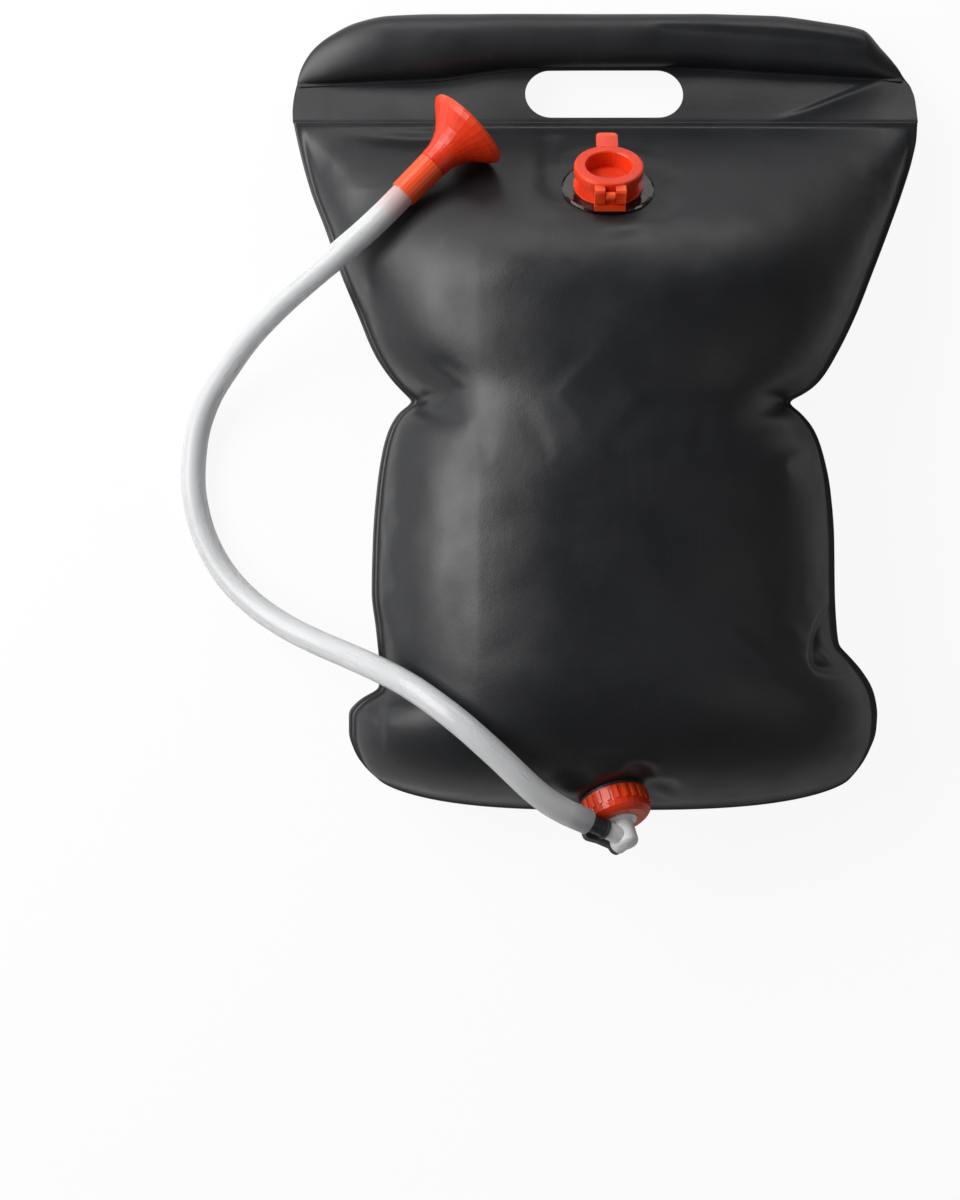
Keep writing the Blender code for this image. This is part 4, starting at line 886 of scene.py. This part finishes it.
def make_web():
    web = grid_object("handle_web_skin", web_points())
    points = coordinates(web.data)
    free = np.sin(math.pi * np.clip((points[:, 1] - WELD_Y) / WEB_FREE, 0, 1))
    points[:, 2] += free * (WEB_UNEVEN * uneven(points, WEB_SCALE) + fold_heights(points, WEB_FOLDS))
    set_coordinates(web.data, points)
    solid = web.modifiers.new("thickness", "SOLIDIFY")
    solid.thickness = WEB_THICKNESS
    solid.offset = 0
    cutter = slot_cutter()
    hole = web.modifiers.new("slot", "BOOLEAN")
    hole.object = cutter
    hole.operation = "DIFFERENCE"
    hole.solver = "EXACT"
    apply_modifiers(web)
    bpy.data.objects.remove(cutter, do_unlink=True)
    shade(web, 40)
    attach(web, "bag")
    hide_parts("handle_web")
    return web


def sleeve_points():
    """Rings along X with oval sections, pinched flat at both ends."""
    ease = np.linspace(-1, 1, SLEEVE_RINGS)
    ease = quarter_wave(ease) * SLEEVE_CROWDING + ease * (1 - SLEEVE_CROWDING)
    share = STATIONS[0, 0] + (STATIONS[-1, 0] - STATIONS[0, 0]) * (ease + 1) / 2
    low, high = (sleeve_edge(share, column) for column in (1, 2))
    half_thick = np.maximum(SLEEVE_HEIGHT * station_at(share, 3), SLEEVE_PINCHED)
    turn = 2 * math.pi * np.arange(SLEEVE_SIDES + 1) / SLEEVE_SIDES
    x = np.repeat((share * HALF_WIDTH)[:, None], SLEEVE_SIDES + 1, axis=1)
    y = ((low + high) / 2)[:, None] - ((high - low) / 2)[:, None] * np.cos(turn)[None, :]
    round_side = np.sign(np.sin(turn)) * np.abs(np.sin(turn)) ** SLEEVE_POWER
    z = SLEEVE_HEIGHT + half_thick[:, None] * round_side[None, :]
    return np.stack([x, y, z], axis=2)


def make_sleeve():
    """The sheet wrapped round the rod, uneven and folded on its front only."""
    grid = sleeve_points()
    flat = grid.reshape(-1, 3)
    front = np.clip((flat[:, 2] - SLEEVE_HEIGHT) / SLEEVE_FREE, 0, 1)
    lift = front * (fold_heights(flat, SLEEVE_FOLDS) + SLEEVE_UNEVEN * uneven(flat, SLEEVE_SCALE))
    grid[:, :, 2] = np.clip(flat[:, 2] + lift, FLOOR_GAP, SLEEVE_TOP).reshape(grid.shape[:2])
    sleeve = grid_object("sleeve_skin", grid)
    shape = bmesh.new()
    shape.from_mesh(sleeve.data)
    bmesh.ops.remove_doubles(shape, verts=shape.verts, dist=SLEEVE_MERGE)
    bmesh.ops.holes_fill(shape, edges=[e for e in shape.edges if e.is_boundary], sides=0)
    bmesh.ops.recalc_face_normals(shape, faces=shape.faces)
    shape.to_mesh(sleeve.data)
    shape.free()
    shade(sleeve, 60)
    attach(sleeve, "bag")
    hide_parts("sleeve_front", "sleeve_back")
    return sleeve


def make_sleeve_weld():
    """The free edge of the wrapped sheet, welded down on the web along the sleeve."""
    rows, columns = STRIP_GRID
    share = np.linspace(STATIONS[0, 0] + STRIP_INSET, STATIONS[-1, 0] - STRIP_INSET, columns)
    x = share * HALF_WIDTH
    past = smooth_step((np.abs(x - SLOT["x"]) - SLOT["length"] / 2 - STRIP_FADE_START) / STRIP_FADE)
    width = STRIP_WIDTH + STRIP_WIDENING * past
    up = np.linspace(0, 1, rows)[:, None]
    y = (sleeve_edge(share) + STRIP_LAP)[None, :] - (width + STRIP_LAP)[None, :] * (1 - up)
    across = np.repeat(x[None, :], rows, axis=0)
    strip = grid_object("sleeve_weld", np.stack([across, y, web_height(across, y)], axis=2))
    solid = strip.modifiers.new("thickness", "SOLIDIFY")
    solid.thickness = WEB_THICKNESS + STRIP_THICKENING
    solid.offset = 0
    edge = strip.modifiers.new("edge", "BEVEL")
    edge.width = STRIP_BEVEL
    edge.segments = 2
    apply_modifiers(strip)
    shade(strip, 50)
    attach(strip, "bag")
    return strip


# Nodes of the materials


def material(name):
    made = bpy.data.materials.new(name)
    made.use_nodes = True
    tree = made.node_tree
    return made, tree, tree.nodes["Principled BSDF"], tree.nodes.new("ShaderNodeTexCoord").outputs["Object"]


def add(tree, kind, inputs, **settings):
    """A node with its settings, and its inputs given or linked."""
    made = tree.nodes.new("ShaderNode" + kind)
    for name, value in settings.items():
        setattr(made, name, value)
    for name, value in inputs.items():
        if isinstance(value, bpy.types.NodeSocket):
            tree.links.new(value, made.inputs[name])
        else:
            made.inputs[name].default_value = value
    return made


def ranged(tree, value, low, high, first=0.0, second=1.0):
    inputs = {"Value": value, "From Min": low, "From Max": high, "To Min": first, "To Max": second}
    return add(tree, "MapRange", inputs).outputs["Result"]


def cloud(tree, place, scale, first=0.0, second=1.0, low=0.35, high=0.65):
    inputs = {"Vector": place, "Scale": scale, "Detail": 3.0, "Roughness": 0.55}
    return ranged(tree, add(tree, "TexNoise", inputs).outputs["Fac"], low, high, first, second)


def stretched(tree, place, scale):
    return add(tree, "VectorMath", {0: place, 1: scale}, operation="MULTIPLY").outputs["Vector"]


def tint(tree, share, first, second):
    """First colour where the share is 0, second where it is 1."""
    inputs = {"Factor": share}
    for socket, colour in zip(MIX_COLOURS, (first, second)):
        inputs[socket] = (*colour, 1) if isinstance(colour, tuple) else colour
    return add(tree, "Mix", inputs, data_type="RGBA").outputs[MIX_RESULT]


def edge_wear(tree, low, high):
    return ranged(tree, tree.nodes.new("ShaderNodeNewGeometry").outputs["Pointiness"], low, high)


def near(tree, place, point, close, far):
    """1 close to a point and 0 away from it."""
    off = add(tree, "VectorMath", {0: place, 1: point}, operation="DISTANCE").outputs["Value"]
    return ranged(tree, off, close, far, 1.0, 0.0)


def surface(tree, shader, colour, roughness, bumps, values=None):
    """Links colour and roughness, sets the plain values, and lays bumps of several sizes one on the other."""
    tree.links.new(colour, shader.inputs["Base Color"])
    tree.links.new(roughness, shader.inputs["Roughness"])
    for name, value in (values or {}).items():
        shader.inputs[name].default_value = value
    normal = None
    for height, depth in bumps:
        inputs = {"Height": height, "Distance": depth, "Strength": 1.0}
        if normal is not None:
            inputs["Normal"] = normal
        normal = add(tree, "Bump", inputs).outputs["Normal"]
    tree.links.new(normal, shader.inputs["Normal"])


# Materials


def black_pvc():
    """Welded sheet: leathery grain, cloudy gloss, faint scuffs along the bag and paler high edges."""
    made, tree, shader, place = material("black_pvc_sheet")
    colour = tint(tree, cloud(tree, place, 9.0), (0.0080, 0.0086, 0.0102), (0.0115, 0.0122, 0.0142))
    scuffs = cloud(tree, stretched(tree, place, (170.0, 26.0, 170.0)), 1.0, 0.0, 1.0, 0.64, 0.80)
    colour = tint(tree, scuffs, colour, (0.0150, 0.0156, 0.0172))
    dust = cloud(tree, place, 520.0, 0.0, 1.0, 0.70, 0.82)
    colour = tint(tree, dust, colour, (0.0230, 0.0235, 0.0245))
    colour = tint(tree, edge_wear(tree, 0.56, 0.70), colour, (0.0340, 0.0350, 0.0370))
    cells = add(tree, "TexVoronoi", {"Vector": place, "Scale": 780.0, "Randomness": 0.9}).outputs["Distance"]
    grain = [(cloud(tree, place, 30.0), 0.00012), (cells, 0.00003), (cloud(tree, place, 2100.0), 0.00001)]
    surface(tree, shader, colour, cloud(tree, place, 26.0, 0.36, 0.47), grain)
    return made


def red_plastic():
    """Moulded polyethylene: warm, slightly cloudy, with a fine mould texture."""
    made, tree, shader, place = material("red_polyethylene")
    colour = tint(tree, cloud(tree, place, 75.0), (0.68, 0.026, 0.001), (0.77, 0.038, 0.003))
    colour = tint(tree, edge_wear(tree, 0.53, 0.64), colour, (0.85, 0.085, 0.018))
    bumps = [(cloud(tree, place, 210.0), 0.00006), (cloud(tree, place, 1600.0), 0.00003)]
    surface(tree, shader, colour, cloud(tree, place, 160.0, 0.26, 0.38), bumps, {
        "Subsurface Weight": 0.10, "Subsurface Radius": (1.0, 0.25, 0.10), "Subsurface Scale": 0.003})
    return made


def white_plastic():
    """Natural polyethylene of the tap: milky, a little uneven."""
    made, tree, shader, place = material("white_polyethylene")
    colour = tint(tree, cloud(tree, place, 95.0), (0.80, 0.81, 0.82), (0.87, 0.875, 0.88))
    bumps = [(cloud(tree, place, 260.0), 0.00005), (cloud(tree, place, 1500.0), 0.00003)]
    surface(tree, shader, colour, cloud(tree, place, 240.0, 0.28, 0.42), bumps, {
        "Subsurface Weight": 0.25, "Subsurface Radius": (1.0, 0.95, 0.85), "Subsurface Scale": 0.003})
    return made


def black_plastic():
    """Satin moulded plastic, paler on its edges."""
    made, tree, shader, place = material("black_plastic_satin")
    colour = tint(tree, cloud(tree, place, 120.0), (0.016, 0.017, 0.019), (0.030, 0.031, 0.033))
    colour = tint(tree, edge_wear(tree, 0.53, 0.62), colour, (0.070, 0.072, 0.075))
    bumps = [(cloud(tree, place, 900.0), 0.00004)]
    surface(tree, shader, colour, cloud(tree, place, 300.0, 0.30, 0.48), bumps)
    return made


def grey_rubber():
    """Dull sealing rubber."""
    made, tree, shader, place = material("grey_rubber")
    colour = tint(tree, cloud(tree, place, 200.0), (0.050, 0.050, 0.050), (0.075, 0.074, 0.072))
    bumps = [(cloud(tree, place, 1200.0), 0.00004)]
    surface(tree, shader, colour, cloud(tree, place, 400.0, 0.60, 0.80), bumps)
    return made


def clear_flange():
    """Clear soft sheet of the fill port, its colour darkened to a brownish grey: painted shade for the black
    front seen through it.
    """
    made, tree, shader, place = material("clear_pvc_flange")
    # Painted shade: a dark brownish grey base colour, so that the clear sheet reads dark over the black front
    colour = tint(tree, cloud(tree, place, 90.0), (0.44, 0.41, 0.37), (0.54, 0.51, 0.47))
    bumps = [(cloud(tree, place, 120.0), 0.00003)]
    surface(tree, shader, colour, cloud(tree, place, 180.0, 0.05, 0.12), bumps, {
        "Transmission Weight": 1.0, "IOR": 1.48})
    return made


def hose_pvc():
    """Milky clear hose: streaks along it, and painted show-through: a red tint where the head's red spigot
    would show through the wall, and a grey painted shade where the black tail would.
    """
    made, tree, shader, place = material("hose_pvc")
    straight = add(tree, "Attribute", {}, attribute_name="straight").outputs["Vector"]
    streaks = cloud(tree, stretched(tree, straight, (130.0, 130.0, 7.0)), 1.0)
    colour = tint(tree, streaks, (0.84, 0.846, 0.86), (0.89, 0.895, 0.90))
    # Painted show-through: red near the head for the red spigot seen through the wall, grey painted shade
    # near the tail for the black tail inside it
    colour = tint(tree, near(tree, place, HEAD_PLACE, 0.004, 0.022), colour, (0.84, 0.52, 0.50))
    colour = tint(tree, near(tree, place, HOSE_START, 0.004, 0.018), colour, (0.42, 0.43, 0.45))
    gloss = cloud(tree, stretched(tree, straight, (90.0, 90.0, 8.0)), 1.0, 0.24, 0.36)
    bumps = [(cloud(tree, place, 60.0), 0.00006), (cloud(tree, place, 700.0), 0.00001)]
    surface(tree, shader, colour, gloss, bumps, {"Transmission Weight": 0.45, "IOR": 1.42})
    return made


def dress(obj, made):
    if len(obj.material_slots):
        for slot in obj.material_slots:
            slot.material = made
    else:
        obj.data.materials.append(made)


# Stage


def make_floor():
    """A floor that looks white to the camera and takes plain light everywhere else."""
    corners = [(FLOOR_REACH * x, FLOOR_REACH * y, 0) for x, y in ((-1, -1), (1, -1), (1, 1), (-1, 1))]
    floor = mesh_object("floor", corners, [(0, 1, 2, 3)])
    made, tree, shader, _ = material("floor_white")
    tree.nodes.remove(shader)
    rays = tree.nodes.new("ShaderNodeLightPath").outputs
    seen = add(tree, "Math", {0: rays["Is Camera Ray"], 1: rays["Is Transmission Ray"]}, operation="MAXIMUM")
    share = add(tree, "Math", {0: seen.outputs[0], 1: FLOOR_GLOW}, operation="MULTIPLY")
    lit = add(tree, "BsdfDiffuse", {"Color": (FLOOR_GREY, FLOOR_GREY, FLOOR_GREY, 1)})
    glow = add(tree, "Emission", {"Color": (1, 1, 1, 1)})
    mixed = add(tree, "MixShader", {0: share.outputs[0], 1: lit.outputs[0], 2: glow.outputs[0]})
    tree.links.new(mixed.outputs[0], tree.nodes["Material Output"].inputs["Surface"])
    floor.data.materials.append(made)


def make_world():
    """White to the camera, and a faint even light on the object."""
    world = bpy.data.worlds.new("studio")
    bpy.context.scene.world = world
    world.use_nodes = True
    tree = world.node_tree
    background = tree.nodes["Background"]
    background.inputs["Color"].default_value = (1, 1, 1, 1)
    sight = tree.nodes.new("ShaderNodeLightPath").outputs["Is Camera Ray"]
    inputs = {0: sight, 1: 1 - WORLD_LIGHT, 2: WORLD_LIGHT}
    strength = add(tree, "Math", inputs, operation="MULTIPLY_ADD").outputs[0]
    tree.links.new(strength, background.inputs["Strength"])


def make_lamps():
    for name, place, aim, size, power in LAMPS:
        data = bpy.data.lights.new(name, "AREA")
        data.shape = "RECTANGLE"
        data.size, data.size_y = size
        data.energy = power
        lamp = add_object(name, data)
        lamp.location = place
        lamp.rotation_euler = (Vector(aim) - Vector(place)).to_track_quat("-Z", "Y").to_euler()


def main():
    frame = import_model()
    nodes = frame["nodes"]
    make_camera()
    hose = make_hose()
    loads = [hose, nodes["head_horn"], nodes["head_sleeve"], nodes["head_plate"]]
    pvc = black_pvc()
    for piece in (make_bag(loads), make_web(), make_sleeve(), make_sleeve_weld()):
        dress(piece, pvc)
    dress(hose, hose_pvc())
    finishes = {
        red_plastic: ("fill_cap", "fill_neck", "outlet_collar", "head_sleeve", "head_horn", "head_plate"),
        white_plastic: ("tap_body", "handle_rod"),
        black_plastic: ("outlet_spout", "hose_tail", "tap_cock"),
        grey_rubber: ("outlet_gasket", "head_seal"),
        clear_flange: ("fill_flange",),
    }
    for recipe, names in finishes.items():
        made = recipe()
        for name in names:
            dress(nodes[name], made)
    make_floor()
    make_world()
    make_lamps()
    bpy.context.scene.view_settings.view_transform = "Standard"


main()
